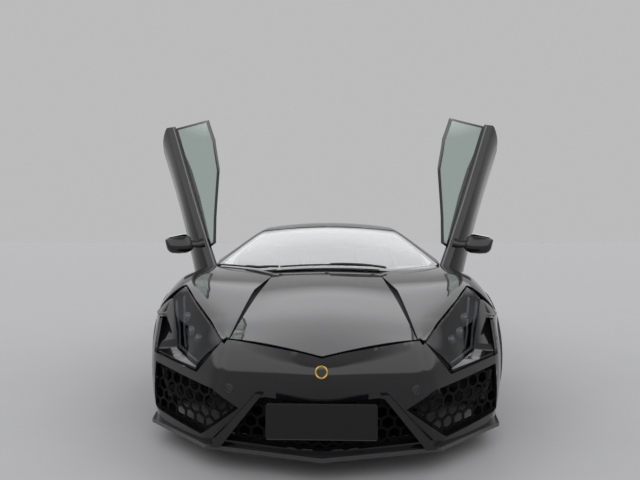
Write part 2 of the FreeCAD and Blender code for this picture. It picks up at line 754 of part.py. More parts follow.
# Rear quarters: from the door's rear edge over the wheel to the tail
QUARTER_BACK = TAIL - 130
quarter_ys = [FRONT_AXLE + 1579, FRONT_AXLE + 1679] + [station_y(row) for row in SIDE[12:17]] + [QUARTER_BACK]
quarter = skin(("lower", "waist", "crest", "deck"), quarter_ys, WALL)
ahead = [(1300, 200), (1562, 200), (1606, 300), (1728, 580), (1798, 850), (1798, 900), (1700 + SEAM, 1100),
         (1700 + SEAM, 1300), (1300, 1300)]
quarter = quarter.cut(side_prism([(FRONT_AXLE + y, z) for y, z in ahead], 300, 1200)).cut(rear_hole)
INTAKE = [(1850, 420), (1900, 790), (2140, 760), (2080, 470)]
intake_edge = [(FRONT_AXLE + y, z) for y, z in INTAKE]
quarter = quarter.cut(side_prism(intake_edge, 800, 1200))
pair("quarter", quarter)
intake_duct = side_prism(grown(intake_edge, 8), 880, 1100).cut(side_prism(intake_edge, 888, 1100))
feature("side_intakes", both_sides(innermost(intake_duct.cut(quarter))))

# Engine cover: between the deck edges, with slots across it
COVER_FRONT = FRONT_AXLE + 1706
COVER_BACK = REAR_AXLE + 380
COVER_WALL = 20
cover = lid(DECK, places(COVER_FRONT, COVER_BACK, 7), GAP, COVER_WALL)
for k in range(6):
    y = REAR_AXLE - 760 + 150 * k
    half = between(DECK, y, 2) - 130
    slot = plan_prism(symmetric([(0, y - 60), (half, y + 20), (half, y + 66), (0, y + 4)]), 700, 1400)
    cover = cover.cut(slot)
COVER_PIVOT = (COVER_FRONT - GAP / 2, between(DECK, COVER_FRONT, 4))
cover, roof = lid_hinge(cover, roof, COVER_PIVOT[0], COVER_PIVOT[1], 110, 10, 1)
feature("engine_cover", cover)
feature("roof", roof)

# Rear deck, from the engine cover to the tail
rear_deck = lid(DECK, places(COVER_BACK + GAP, TAIL - 56, 4), SEAM, WALL)
deck_node = feature("rear_deck", rear_deck)

# Rear bumper, its lamps and the outlets
TAIL_WALL = 18
tail_shell = outline_shell(TAIL_PIECE, QUARTER_BACK + SEAM, ahead_of_tail, 0, TAIL_WALL)
ahead_of_bumper = block((-1200, QUARTER_BACK - 200, 0), (1200, QUARTER_BACK + SEAM, 1200))
tail_shell = tail_shell.cut(ahead_of_bumper).cut(rear_deck)
TAIL_LAMP = [(420, 800), (820, 812), (840, 700), (560, 730), (430, 752)]
TAIL_MESH = [(300, 690), (540, 676), (800, 640), (800, 520), (300, 470)]
HEX = symmetric([(0, 800), (190, 790), (262, 710), (200, 620), (0, 612)])
for opening in (TAIL_LAMP, TAIL_MESH):
    cutter = front_prism(opening, TAIL - 200, TAIL + 50)
    tail_shell = tail_shell.cut(cutter).cut(mirrored(cutter))
tail_shell = tail_shell.cut(front_prism(HEX, TAIL - 200, TAIL + 50))
feature("rear_bumper", tail_shell)

inner_tail = outline_shell(TAIL_PIECE, QUARTER_BACK + SEAM, ahead_of_tail, 3, 12)
lamp_cutter = front_prism(TAIL_LAMP, TAIL - 200, TAIL + 50).common(inner_tail)
feature("tail_lamps", both_sides(lamp_cutter))
mesh_shell = outline_shell(TAIL_PIECE, QUARTER_BACK + SEAM, ahead_of_tail, TAIL_WALL, 8)
tail_mesh = mesh_shell.common(front_prism(grown(TAIL_MESH, 8), TAIL - 300, TAIL + 50))
tail_mesh = tail_mesh.cut(tail_shell).cut(honeycomb(TAIL_MESH, TAIL - 300, TAIL + 50))
feature("rear_grilles", both_sides(tail_mesh))

# Diffuser: a rising floor with a row of upright fins
RISE_START = REAR_AXLE + 440
RISE_END = TAIL - 118
ENGINE_FOOT = 230
half_diffuser = size("diffuser_width") / 2
rise = [(RISE_START, FLOOR), (RISE_END, 372), (RISE_END, 384), (RISE_START, FLOOR + WALL)]
fin = [(RISE_START + 60, FLOOR + 4), (RISE_END, 190), (RISE_END, 380), (RISE_START + 60, FLOOR + 30)]
diffuser = body("rear_diffuser")
pad(diffuser, "side", [rise], -half_diffuser, "dims.diffuser_width")
FIN_INSET = 75
first_fin = pad(diffuser, "side", [fin], FIN_INSET - half_diffuser, "dims.fin_wall")
fin_reach = "dims.diffuser_width - dims.fin_wall - %g" % (2 * FIN_INSET)
repeated(diffuser, "LinearPattern", first_fin, "dims.fin_count", fin_reach)
listed(diffuser, "rear_diffuser")


# Tailpipes: two six-sided outlets high in the middle, on one silencer
def six_sided(radius, x, z):
    return [(x + radius * math.cos(math.radians(60 * k)), z + radius * math.sin(math.radians(60 * k)))
            for k in range(6)]


PIPE = size("exhaust_radius")
PIPE_HEIGHT = 706
SILENCER_BACK = TAIL - 230
PIPE_END = TAIL - 8
BORE_START = SILENCER_BACK + 20
exhaust = body("exhaust")
silencer_end = [(-300, 630), (-274, 604), (274, 604), (300, 630), (300, 780), (-300, 780)]
pad(exhaust, "front", [silencer_end], SILENCER_BACK - 190, 190)
pipe_ends = [six_sided(PIPE, side * size("pipe_across"), PIPE_HEIGHT) for side in (-1, 1)]
pad(exhaust, "front", pipe_ends, SILENCER_BACK - 1, PIPE_END - SILENCER_BACK + 1)
bores = [six_sided(PIPE - size("pipe_wall"), side * size("pipe_across"), PIPE_HEIGHT) for side in (-1, 1)]
bore_cut = exhaust.newObject("PartDesign::Pocket", "exhaust_bores")
bore_cut.Profile = sketch(exhaust, "front", bores, PIPE_END + 1)
bore_cut.Length = PIPE_END + 1 - BORE_START
bore_cut.Reversed = True
exhaust.Tip = bore_cut
listed(exhaust, "exhaust")

# Rear wing on two stays that stand on the deck
half_span, stay = size("wing_span") / 2, size("stay_wall")
blade_side = [(TAIL - 250, 968), (TAIL - 160, 986), (TAIL - 30, 1000), (TAIL - 28, 990), (TAIL - 160, 966)]
wing_blank = body("rear_wing_blank")
pad(wing_blank, "side", [blade_side], -half_span, "dims.wing_span")
STAY_ACROSS = 300
stay_foot = between(DECK, TAIL - 120, 3) - 4
stay_side = [(TAIL - 220, stay_foot), (TAIL - 120, stay_foot), (TAIL - 120, 976), (TAIL - 220, 976)]
for side in (-1, 1):
    pad(wing_blank, "side", [stay_side], side * STAY_ACROSS - stay / 2, "dims.stay_wall")
trimmed("rear_wing", wing_blank, deck_node)

# Tub: a floor between two sills, bulkheads before and behind the cabin, a luggage well in front, and
# a frame of rails behind that carries the engine, the rear arms and the silencer
TUB_FRONT = FRONT_AXLE + 400
TUB_BACK = FRONT_AXLE + 1870
SILL_BACK = REAR_AXLE - 470
WELL_FRONT = NOSE + 640
RAIL_BACK = TAIL - 500
BULKHEAD = 36
RAIL_IN, RAIL_OUT = 420, 470
WELL_WALL = 30
sill_in, sill_out = size("sill_inner"), size("sill_outer")
sill_top = FLOOR + size("sill_height")
floor_top = FLOOR + size("floor_wall")
WELL_OUT = RAIL_OUT + WELL_WALL


def upright(x_low, x_high, z_low, z_high):
    return [(x_low, z_low), (x_high, z_low), (x_high, z_high), (x_low, z_high)]


frame_body = body("tub_blank")
cabin_section = symmetric([(0, FLOOR), (sill_out, FLOOR), (sill_out, sill_top), (sill_in, sill_top),
                           (sill_in, floor_top), (0, floor_top)])
pad(frame_body, "front", [cabin_section], TUB_FRONT, TUB_BACK - TUB_FRONT)
sill_ends = [upright(*sorted((side * sill_in, side * sill_out)), FLOOR, sill_top) for side in (-1, 1)]
pad(frame_body, "front", sill_ends, TUB_BACK, SILL_BACK - TUB_BACK)
pad(frame_body, "front", [upright(-sill_out, sill_out, FLOOR, 870)], TUB_FRONT, BULKHEAD)
rear_wall = symmetric([(0, FLOOR), (700, FLOOR), (700, 820), (500, 820), (500, 930), (0, 930)])
pad(frame_body, "front", [rear_wall], TUB_BACK - BULKHEAD - 4, BULKHEAD + 4)
well_section = symmetric([(0, 380), (RAIL_OUT, 380), (RAIL_OUT, FLOOR), (WELL_OUT, FLOOR), (WELL_OUT, 600),
                          (RAIL_OUT, 600), (RAIL_OUT, 400), (0, 400)])
pad(frame_body, "front", [well_section], WELL_FRONT, TUB_FRONT - WELL_FRONT)
pad(frame_body, "front", [upright(-WELL_OUT, WELL_OUT, FLOOR, 560)], WELL_FRONT, 20)
rail_outline = upright(TUB_BACK, RAIL_BACK, 190, 550)
rail_window = upright(TUB_BACK + 20, RAIL_BACK - 60, 250, 490)
for low in (-RAIL_OUT, RAIL_IN):
    pad(frame_body, "side", [rail_outline, rail_window], low, RAIL_OUT - RAIL_IN)
rear_cross = upright(RAIL_BACK - 60, RAIL_BACK, 490, 550)
engine_cross = upright(REAR_AXLE - 500, REAR_AXLE - 440, 200, ENGINE_FOOT)
for cross in (rear_cross, engine_cross):
    pad(frame_body, "side", [cross], -RAIL_OUT, 2 * RAIL_OUT)
hanger = upright(RAIL_BACK - 20, SILENCER_BACK - 190, 500, 700)
for low in (-230, 210):
    pad(frame_body, "side", [hanger], low, 20)
# Closing plate behind the doors, out to the middle of the quarters' walls
plate_edge = offset([body_point(line, TUB_BACK - 35) for line in ("lower", "waist", "crest")], -WALL / 2)
plate_foot = plate_edge[0][0] + (plate_edge[1][0] - plate_edge[0][0]) * 0.34
closing = symmetric([(0, 420), (plate_foot, 420), plate_edge[1], plate_edge[2], (0, plate_edge[2][1])])
pad(frame_body, "front", [closing], TUB_BACK - BULKHEAD - 4, 10)
doc.recompute()
top_trim = block((-1200, TUB_FRONT - 10, FLOOR), (1200, TUB_FRONT + 40, 1000)).cut(under_belt)
tub = frame_body.Shape.cut(top_trim)
for panel in (wing, quarter):
    tub = innermost(tub.cut(panel).cut(mirrored(panel)))
feature("tub", tub)

# Undertray, level with the splitter's top and clear behind it
tray_points = [(0, NOSE + 230), (430, NOSE + 320), (500, FRONT_AXLE - 420), (530, FRONT_AXLE - 400),
               (530, FRONT_AXLE + 400), (880, FRONT_AXLE + 420), (880, REAR_AXLE - 440),
               (600, REAR_AXLE - 430), (600, RISE_START), (0, RISE_START)]
undertray = body("undertray")
pad(undertray, "plan", [symmetric(tray_points)], FLOOR - size("tray_wall"), "dims.tray_wall")
listed(undertray, "undertray")

# Side skirts under the doors
skirt_ys = places(FRONT_AXLE + 392, REAR_AXLE - 418, 5)
skirt_wires = []
for y in skirt_ys:
    edge = body_point("lower", y)[0]
    skirt_line = [(sill_out, FLOOR), (edge - 50, FLOOR), (edge + 8, FLOOR + 60), (edge, 294), (sill_out, 294)]
    skirt_wires.append(section(skirt_line, y))
feature("side_skirts", both_sides(loft(skirt_wires)))


def within_flanks(ys):
    """The space inside the side panels, out to the middle of their walls."""
    wires = []
    for y in ys:
        inner = offset([body_point(line, y) for line in ("lower", "waist", "crest")], -WALL / 2)
        wires.append(section(symmetric([(0, 0), (inner[0][0], 0)] + inner + [(0, inner[-1][1])]), y))
    return loft(wires, ruled=True)


# Wheel arch liners, reaching out to the inside of the flanks
def liner(axle, radius, height, x_low, panels):
    arch = across(radius + 6, x_low, 1100, axle, height)
    arch = arch.cut(across(radius + 1, x_low - 1, 1101, axle, height))
    arch = arch.common(within_flanks(places(axle - 460, axle + 460, 9)))
    arch = arch.cut(block((0, axle - 600, -200), (1200, axle + 600, 190)))
    arch = arch.cut(block((880, axle - 600, 0), (1200, axle + 600, 430)))
    for panel in panels:
        arch = arch.cut(panel)
    return innermost(arch)


pair("front_liner", liner(FRONT_AXLE, FRONT_ARCH, size("front_tyre_radius"), 556, [wing, bumper]))
pair("rear_liner", liner(REAR_AXLE, REAR_ARCH, size("rear_tyre_radius"), 650, [quarter]))

# Engine: one plain block between the rails, two banks over a crankcase, and the gearbox behind it
ENGINE_BACK = REAR_AXLE - 60
ENGINE_LENGTH = 770
GEARBOX_LENGTH = 390
engine_end = symmetric([(0, ENGINE_FOOT), (200, ENGINE_FOOT), (240, 420), (310, 640), (250, 742), (150, 742),
                        (120, 800), (0, 800)])
gearbox_end = symmetric([(0, ENGINE_FOOT), (200, ENGINE_FOOT), (200, 470), (120, 560), (0, 560)])
engine = body("engine")
pad(engine, "front", [engine_end], ENGINE_BACK - ENGINE_LENGTH, ENGINE_LENGTH)
pad(engine, "front", [gearbox_end], ENGINE_BACK, GEARBOX_LENGTH)
listed(engine, "engine")

# Cabin: dashboard and console
dash_side = [(TUB_FRONT + 36, 560), (TUB_FRONT + 36, 740), (TUB_FRONT + 120, 760), (TUB_FRONT + 330, 730),
             (TUB_FRONT + 350, 660), (TUB_FRONT + 200, 560)]
console_side = [(TUB_FRONT + 36, floor_top), (TUB_FRONT + 36, 561), (TUB_FRONT + 200, 561),
                (TUB_FRONT + 420, 430), (TUB_BACK - 40, 400), (TUB_BACK - 40, floor_top)]
dashboard = body("dashboard")
pad(dashboard, "side", [dash_side], -size("dash_width") / 2, "dims.dash_width")
pad(dashboard, "side", [console_side], -size("console_width") / 2, "dims.console_width")
listed(dashboard, "dashboard")

# Seats: cushion, backrest and two bolsters, as side views measured behind the front axle
CUSHION = ((960, 155), (960, 330), (1000, 352), (1430, 300), (1480, 155))
BACKREST = ((1390, 290), (1610, 880), (1640, 930), (1700, 930), (1720, 860), (1560, 300))
BOLSTER = ((980, 155), (990, 400), (1400, 390), (1560, 760), (1640, 760), (1590, 330), (1480, 155))


def seat_side(points):
    return [(FRONT_AXLE + y, max(z, floor_top)) for y, z in points]


for label, side in (("seat_left", 1), ("seat_right", -1)):
    middle, half_seat = side * size("seat_across"), size("seat_width") / 2
    seat = body(label)
    pad(seat, "side", [seat_side(CUSHION)], middle - half_seat, "dims.seat_width")
    pad(seat, "side", [seat_side(BACKREST)], middle - half_seat + 10, "dims.seat_width - 20")
    for low in (middle - half_seat - size("bolster_width") + 20, middle + half_seat - 20):
        pad(seat, "side", [seat_side(BOLSTER)], low, "dims.bolster_width")
    listed(seat, label)

# Steering wheel: modelled flat about its column, which runs into the dashboard
LEAN = 22
WHEEL_BACK = 770
WHEEL_HEIGHT = 700
lean = math.radians(LEAN)
column_axis = Vector(0, math.cos(lean), math.sin(lean))
wheel_centre = Vector(size("seat_across"), FRONT_AXLE + WHEEL_BACK, WHEEL_HEIGHT) + column_axis * 150
reach = size("steering_wheel_radius")
wheel_blank = body("steering_blank")
wheel_blank.Placement = FreeCAD.Placement(wheel_centre, FreeCAD.Rotation(Vector(0, 0, 1), column_axis))
grip = [(reach + a, b) for a, b in ((-15, 0), (-8, 14), (8, 14), (15, 0), (8, -14), (-8, -14))]
turned(wheel_blank, grip, 0, (0, 0), "V_Axis")
wheel_spokes = [(-reach, -14), (-reach, 14), (-60, 34), (-20, reach), (20, reach), (60, 34), (reach, 14),
                (reach, -14), (60, -30), (-60, -30)]
pad(wheel_blank, "plan", [wheel_spokes], -7, 14)
pad(wheel_blank, "plan", [], -20, 34, radius="44")
pad(wheel_blank, "plan", [], -230, 214, radius="dims.column_radius")
trimmed("steering_wheel", wheel_blank, dashboard)

# Rear window under the roof's trailing edge
rear_window = doc.addObject("Part::Box", "rear_window")
rear_window.Length = 960
rear_window.setExpression("Width", "dims.glass_wall")
rear_window.Height = 134
rear_window.Placement = FreeCAD.Placement(Vector(-480, TUB_BACK - 20, 930), FreeCAD.Rotation())
listed(rear_window, "rear_window")

# Running gear. Tyres and rims are turned about their axle in place, on each side.
def ring(outer, inner, x_low, x_high, y, z):
    return across(outer, x_low, x_high, y, z).cut(across(inner, x_low - 1, x_high + 1, y, z))


TREAD = 26
BEAD = 6
RIM_INSET = 14
FACE_DEPTH = 58
FACE_WALL = 34
DISC_OFFSET = 24


def make_tyre(label, side, centre, radius, width, rim_radius, axle):
    """A tyre as one turned profile, from bead to bead over the tread."""
    half = width / 2
    shoulder, bead = radius - TREAD, rim_radius + BEAD
    wall = [(half - 34, radius), (half - 12, shoulder + 10), (half, (radius + bead) / 2), (half - 14, bead)]
    profile = [(-x, r) for x, r in reversed(wall)] + wall
    tyre = body(label)
    turned(tyre, [(side * (centre + x), r) for x, r in profile], axle, (0, radius))
    listed(tyre, label)


def make_rim(label, side, centre, radius, width, rim_radius, disc, axle):
    """A rim: turned barrel, pairs of tapering spokes, hub, and its brake disc on the shaft."""
    half = width / 2 - RIM_INSET
    barrel = [(-half, rim_radius + 5), (-half, rim_radius - 4), (-half + 30, rim_radius - 22),
              (half - 40, rim_radius - 22), (half, rim_radius - 8), (half, rim_radius + 5),
              (half - 40, rim_radius - 10), (-half + 30, rim_radius - 10)]
    rim = body(label)
    turned(rim, [(side * (centre + x), r) for x, r in barrel], axle, (0, radius))
    face_in, face_out = centre + half - FACE_DEPTH, centre + half - FACE_DEPTH + FACE_WALL
    spoke = [(8, 60), (40, 60), (92, rim_radius - 18), (62, rim_radius - 14)]
    pair_of_spokes = [spoke, [(-a, b) for a, b in spoke]]
    wheel = {"origin": (axle, radius)}

    def place(low, high):
        return min(side * low, side * high)

    pad(rim, "side", [], place(face_in - 14, face_out), FACE_WALL + 14, radius="dims.rim_hub_radius", **wheel)
    spokes = pad(rim, "side", pair_of_spokes, place(face_in, face_out), FACE_WALL, **wheel)
    repeated(rim, "PolarPattern", spokes, "dims.spoke_count", 360)
    disc_out = face_in - DISC_OFFSET
    shaft_in = centre - 66
    shaft_out = face_in - 14
    pad(rim, "side", [], place(shaft_in, shaft_out), shaft_out - shaft_in, radius="dims.hub_radius", **wheel)
    disc_in = disc_out - size("disc_wall")
    pad(rim, "side", [], place(disc_in, disc_out), "dims.disc_wall", radius=disc, **wheel)
    listed(rim, label)


for place, axle in (("front", FRONT_AXLE), ("rear", REAR_AXLE)):
    centre = size(place + "_track") / 2
    tyre_radius, width = size(place + "_tyre_radius"), size(place + "_tyre_width")
    rim_radius, disc_radius = size(place + "_rim_radius"), size("disc_radius_" + place)
    for label, side in (("left", 1), ("right", -1)):
        make_tyre("%s_tyre_%s" % (place, label), side, centre, tyre_radius, width, rim_radius, axle)
        make_rim("%s_rim_%s" % (place, label), side, centre, tyre_radius, width, rim_radius,
                 "dims.disc_radius_" + place, axle)
    disc_face = centre + width / 2 - RIM_INSET - FACE_DEPTH - DISC_OFFSET
    disc_back = disc_face - size("disc_wall")
    bore = size("hub_radius") + PLAY
    post_x = centre - 30
    boss = across(58, centre - 60, disc_back - 8, axle, tyre_radius)
    post = block((post_x - 20, axle - 30, tyre_radius - 134), (post_x + 20, axle + 30, tyre_radius + 134))
    pin_low, pin_high = (Vector(post_x, axle, tyre_radius + reach) for reach in (-168, 168))
    pins = bar(size("kingpin_radius"), pin_low, pin_high)
    outer_ring = ring(rim_radius - 34, 110, disc_back - 24, disc_face + 16, axle, tyre_radius)
    wedge = [(axle, tyre_radius), (axle + 300, tyre_radius - 150), (axle + 300, tyre_radius + 150)]
    caliper = outer_ring.common(side_prism(wedge, disc_back - 30, disc_face + 20))
    caliper = caliper.cut(across(disc_radius + 6, disc_back - 4, disc_face + 4, axle, tyre_radius))
    mount_low = (disc_back - 30, axle + 20, tyre_radius - 40)
    mount_high = (disc_back - 12, axle + 150, tyre_radius + 40)
    knuckle = fused([boss, post, pins, caliper, block(mount_low, mount_high)])
    knuckle = knuckle.cut(across(bore, centre - 100, disc_face + 40, axle, tyre_radius))
    arms = []
    inner_x = 500 if place == "front" else 470
    for z in (tyre_radius - 152, tyre_radius + 152):
        low, high = Vector(post_x, axle, z - 12), Vector(post_x, axle, z + 12)
        lift = Vector(0, 0, 30)
        eye, eye_hole = bar(26, low, high), bar(size("kingpin_radius") + PLAY, low - lift, high + lift)
        tube = size("wishbone_radius")
        legs = [bar(tube, Vector(post_x - 18, axle + way * 6, z), Vector(inner_x - 4, axle + way * 105, z))
                for way in (-1, 1)]
        rail_side = block((-inner_x, axle - 400, z - 60), (inner_x, axle + 400, z + 60))
        arms.append(fused([eye] + legs).cut(eye_hole).cut(rail_side))
    arm_solids = [solid for arm in arms for solid in both_sides(arm).Solids]
    if place == "front":
        pair("front_knuckle", knuckle)
        feature("front_suspension", Part.makeCompound(arm_solids))
    else:
        shafts = both_sides(across(22, 200, centre - 72, axle, tyre_radius))
        feature("rear_suspension", Part.makeCompound(arm_solids + both_sides(knuckle).Solids + shafts.Solids))

doc.recompute()
for item in doc.Objects:
    if "Invalid" in item.State or "Error" in item.State:
        raise RuntimeError("object %s failed: %s" % (item.Label, item.State))
for node in nodes:
    shape = node.Shape
    if shape.isNull() or not shape.isValid() or not shape.Solids:
        raise RuntimeError("sub-part %s is not a valid solid" % node.Label)

os.makedirs("parts", exist_ok=True)
for node in nodes:
    node.Shape.exportStep("parts/%s.step" % node.Label)
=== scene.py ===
import functools
import json
import math

import bmesh
import bpy
from mathutils import Matrix, Vector


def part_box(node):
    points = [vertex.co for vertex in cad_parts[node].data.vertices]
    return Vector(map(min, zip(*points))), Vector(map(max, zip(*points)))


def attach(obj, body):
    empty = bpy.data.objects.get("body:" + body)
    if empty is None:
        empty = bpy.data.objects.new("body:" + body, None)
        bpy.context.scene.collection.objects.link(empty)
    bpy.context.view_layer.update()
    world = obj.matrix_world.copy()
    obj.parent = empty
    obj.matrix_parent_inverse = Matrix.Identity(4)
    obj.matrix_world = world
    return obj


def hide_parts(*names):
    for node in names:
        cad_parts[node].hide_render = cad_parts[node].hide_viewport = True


# Gloss black mid-engined supercar with both doors turned up, in a pale studio.
# Metres, +Z up, nose towards -Y, +X the car's left. Tables in metres() and behind_axle() are in millimetres.

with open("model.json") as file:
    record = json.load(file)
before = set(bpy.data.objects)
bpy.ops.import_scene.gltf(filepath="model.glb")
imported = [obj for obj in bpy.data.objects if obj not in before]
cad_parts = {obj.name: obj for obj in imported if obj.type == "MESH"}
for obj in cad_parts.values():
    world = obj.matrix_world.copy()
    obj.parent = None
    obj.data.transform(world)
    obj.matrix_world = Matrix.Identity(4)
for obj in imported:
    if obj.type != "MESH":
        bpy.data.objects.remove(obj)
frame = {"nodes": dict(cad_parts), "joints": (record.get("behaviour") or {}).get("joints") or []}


def save_bounds():
    """Brings the view layer up to date; the object's box is not kept."""
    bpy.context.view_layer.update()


save_bounds()

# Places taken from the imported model
MM = 0.001
front_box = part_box("front_tyre_left")
rear_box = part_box("rear_tyre_left")
FRONT_AXLE = (front_box[0].y + front_box[1].y) / 2
REAR_AXLE = (rear_box[0].y + rear_box[1].y) / 2
FRONT_RADIUS = front_box[1].z / 2
REAR_RADIUS = rear_box[1].z / 2
FRONT_OVERHANG = 1.143
REAR_OVERHANG = 1.025
NOSE = FRONT_AXLE - FRONT_OVERHANG
TAIL = REAR_AXLE + REAR_OVERHANG
ANCHOR = {"nose": NOSE, "front": FRONT_AXLE, "rear": REAR_AXLE, "tail": TAIL}
ROOF = 1.160
GAP = 0.006
ARCH_CLEARANCE = 0.035


def metres(rows):
    """A table in millimetres, with any name at the start of a row kept."""
    return [tuple(v if isinstance(v, str) else v * MM for v in row) for row in rows]


def behind_axle(points):
    """Places in side view from millimetres behind the front axle and above the ground."""
    return [(FRONT_AXLE + y * MM, z * MM) for y, z in points]


# Half widths and heights of the body's side lines: anchor, behind, crest x, z, waist x, z, lower x, z
SIDE = metres((
    ("nose", 60, 440, 508, 560, 420, 600, 250),
    ("nose", 258, 447, 551, 690, 450, 720, 260),
    ("nose", 420, 545, 617, 790, 480, 790, 270),
    ("front", -520, 680, 697, 905, 560, 900, 280),
    ("front", -320, 790, 765, 955, 605, 940, 290),
    ("front", -150, 840, 797, 984, 628, 965, 300),
    ("front", 0, 862, 808, 997, 640, 985, 300),
    ("front", 200, 876, 812, 995, 650, 975, 300),
    ("front", 480, 886, 814, 978, 655, 950, 300),
    ("front", 900, 898, 822, 958, 655, 936, 300),
    ("front", 1330, 904, 838, 952, 655, 932, 300),
    ("rear", -1100, 906, 860, 962, 664, 936, 300),
    ("rear", -700, 914, 902, 990, 690, 958, 300),
    ("rear", -330, 922, 944, 1008, 712, 984, 304),
    ("rear", 0, 918, 962, 1016, 724, 996, 312),
    ("rear", 350, 892, 960, 1004, 728, 976, 345),
    ("tail", -300, 850, 948, 958, 716, 925, 385),
    ("tail", -50, 806, 934, 902, 700, 872, 430),
))

# Bonnet and cowl: anchor, behind, edge x, z, middle z
BONNET = metres((
    ("nose", 60, 436, 512, 514),
    ("nose", 258, 425, 556, 582),
    ("nose", 420, 413, 602, 630),
    ("front", -520, 400, 652, 676),
    ("front", -320, 384, 699, 720),
    ("front", -150, 369, 733, 751),
    ("front", 0, 362, 756, 770),
    ("front", 200, 356, 778, 790),
    ("front", 480, 350, 800, 808),
))

# Deck over the engine and tail: anchor, behind, edge x, z, middle z
DECK = metres((
    ("rear", -1200, 568, 1110, 1158),
    ("rear", -1100, 566, 1100, 1150),
    ("rear", -700, 546, 1058, 1100),
    ("rear", -330, 532, 1012, 1048),
    ("rear", 0, 520, 978, 1004),
    ("rear", 350, 508, 954, 970),
    ("tail", -300, 496, 942, 952),
    ("tail", -50, 486, 932, 940),
))

# Glasshouse: anchor, behind, cant x, z, crown drop, belt x, z
CANOPY = metres((
    ("front", 100, 905, 662, 400, 960, 600),
    ("front", 460, 842, 818, 276, 905, 740),
    ("front", 830, 722, 958, 146, 884, 770),
    ("front", 1180, 606, 1080, 40, 880, 790),
    ("front", 1430, 574, 1116, 0, 882, 806),
    ("front", 1700, 566, 1106, 8, 886, 830),
    ("front", 1900, 560, 1086, 24, 890, 850),
))

# Front bumper, places behind the nose: z, middle, knee x, knee, corner x, corner, end x
BUMPER = metres((
    (115, 62, 500, 186, 838, 480, 905),
    (215, 46, 480, 160, 862, 492, 925),
    (330, 22, 462, 138, 880, 512, 938),
    (430, 0, 446, 148, 884, 530, 946),
    (485, 22, 440, 184, 880, 545, 950),
    (530, 92, 436, 226, 872, 560, 952),
    (600, 210, 428, 330, 860, 590, 956),
))

# Rear bumper, places ahead of the tail: z, middle, knee x, knee, corner x, corner, end x
TAIL_PIECE = metres((
    (400, 95, 520, 100, 850, 114, 880),
    (520, 40, 540, 52, 860, 92, 898),
    (660, 8, 560, 26, 860, 84, 912),
    (760, 0, 560, 20, 850, 80, 902),
    (880, 14, 540, 30, 800, 84, 850),
    (926, 28, 520, 42, 765, 88, 822),
))

# Headlamp's lower edge: behind the nose, x, z
LAMP = metres((
    (262, 572, 420),
    (420, 742, 432),
    (530, 856, 446),
    (700, 868, 590),
    (790, 872, 668),
))


# Smooth curves through the tables: rows along the car, and at heights on the bumpers
ALONG = (SIDE, BONNET, DECK, CANOPY)
CURVES = {id(rows): (rows, [ANCHOR[row[0]] + row[1] for row in rows]) for rows in ALONG}
CURVES |= {id(rows): (rows, [row[0] for row in rows]) for rows in (BUMPER, TAIL_PIECE)}


@functools.lru_cache(maxsize=None)
def curve_value(table, at, column):
    rows, ys = CURVES[table]
    last = len(rows) - 1
    at = min(max(at, ys[0]), ys[last])
    i = max(k for k in range(last) if ys[k] <= at)
    slope = []
    for k in (i, i + 1):
        a, b = max(k - 1, 0), min(k + 1, last)
        slope.append((rows[b][column] - rows[a][column]) / (ys[b] - ys[a]))
    span = ys[i + 1] - ys[i]
    part = (at - ys[i]) / span
    rise = rows[i + 1][column] - rows[i][column]
    curve = part * part * (3 - 2 * part)
    bend = part * (part - 1) * ((part - 1) * span * slope[0] + part * span * slope[1])
    return rows[i][column] + rise * curve + bend


def between(rows, at, column):
    """One column of a table at any place, along a smooth curve through its rows."""
    return curve_value(id(rows), round(at, 5), column)


LINES = {"crest": (SIDE, 2), "waist": (SIDE, 4), "lower": (SIDE, 6), "slot": (BONNET, 2), "deck": (DECK, 2)}


def body_point(name, y):
    rows, column = LINES[name]
    return (between(rows, y, column), between(rows, y, column + 1))


# Sections: straight sides, slightly full, with rounded corners
CORNER_SHARE = 0.16
LONGEST_ROUND = 0.4
CANT_ROUND = 0.05
CROWN_POWER = 1.8


def rounded(start, corner, end, t):
    """A place on the curve that takes off a corner."""
    return [(1 - t) ** 2 * a + 2 * t * (1 - t) * b + t * t * c for a, b, c in zip(start, corner, end)]


def section_point(corners, rounds, fulls, v):
    """The point at v along an open section; whole numbers of v are its corners."""
    count = len(corners) - 1
    v = min(max(v, 0.0), float(count))
    k = min(int(v), count - 1)
    s = v - k
    (ax, az), (bx, bz) = corners[k], corners[k + 1]
    dx, dz = bx - ax, bz - az
    length = math.hypot(dx, dz)
    dx, dz = dx / length, dz / length
    low = CORNER_SHARE if k > 0 else 0.0
    high = 1 - CORNER_SHARE if k + 1 < count else 1.0
    full = fulls[k] * 4 * s * (1 - s)
    if low <= s <= high:
        first = min(rounds[k], length * LONGEST_ROUND) if k > 0 else 0.0
        second = min(rounds[k + 1], length * LONGEST_ROUND) if k + 1 < count else 0.0
        along = first + (length - first - second) * (s - low) / (high - low)
        return ax + dx * along + dz * full, az + dz * along - dx * full
    corner = k if s < low else k + 1
    t = 0.5 + 0.5 * s / low if s < low else 0.5 * (s - high) / (1 - high)
    px, pz = corners[corner]
    sides = [(x - px, z - pz) for x, z in (corners[corner - 1], corners[corner + 1])]
    lengths = [math.hypot(x, z) for x, z in sides]
    reach = min([rounds[corner]] + [side * LONGEST_ROUND for side in lengths])
    start, end = ((px + x / side * reach, pz + z / side * reach) for (x, z), side in zip(sides, lengths))
    x, z = rounded(start, (px, pz), end, t)
    return x + dz * full, z - dx * full


def flank(lines, rounds, fulls, drop=(0.0, 0.0)):
    """A side surface over the named body lines; place(y, v)."""
    @functools.lru_cache(maxsize=None)
    def corners(y):
        points = [body_point(line, y) for line in lines]
        points[0] = (points[0][0] + drop[0], points[0][1] + drop[1])
        return points

    def place(y, v):
        x, z = section_point(corners(round(y, 5)), rounds, fulls, v)
        return Vector((x, y, z))
    return place


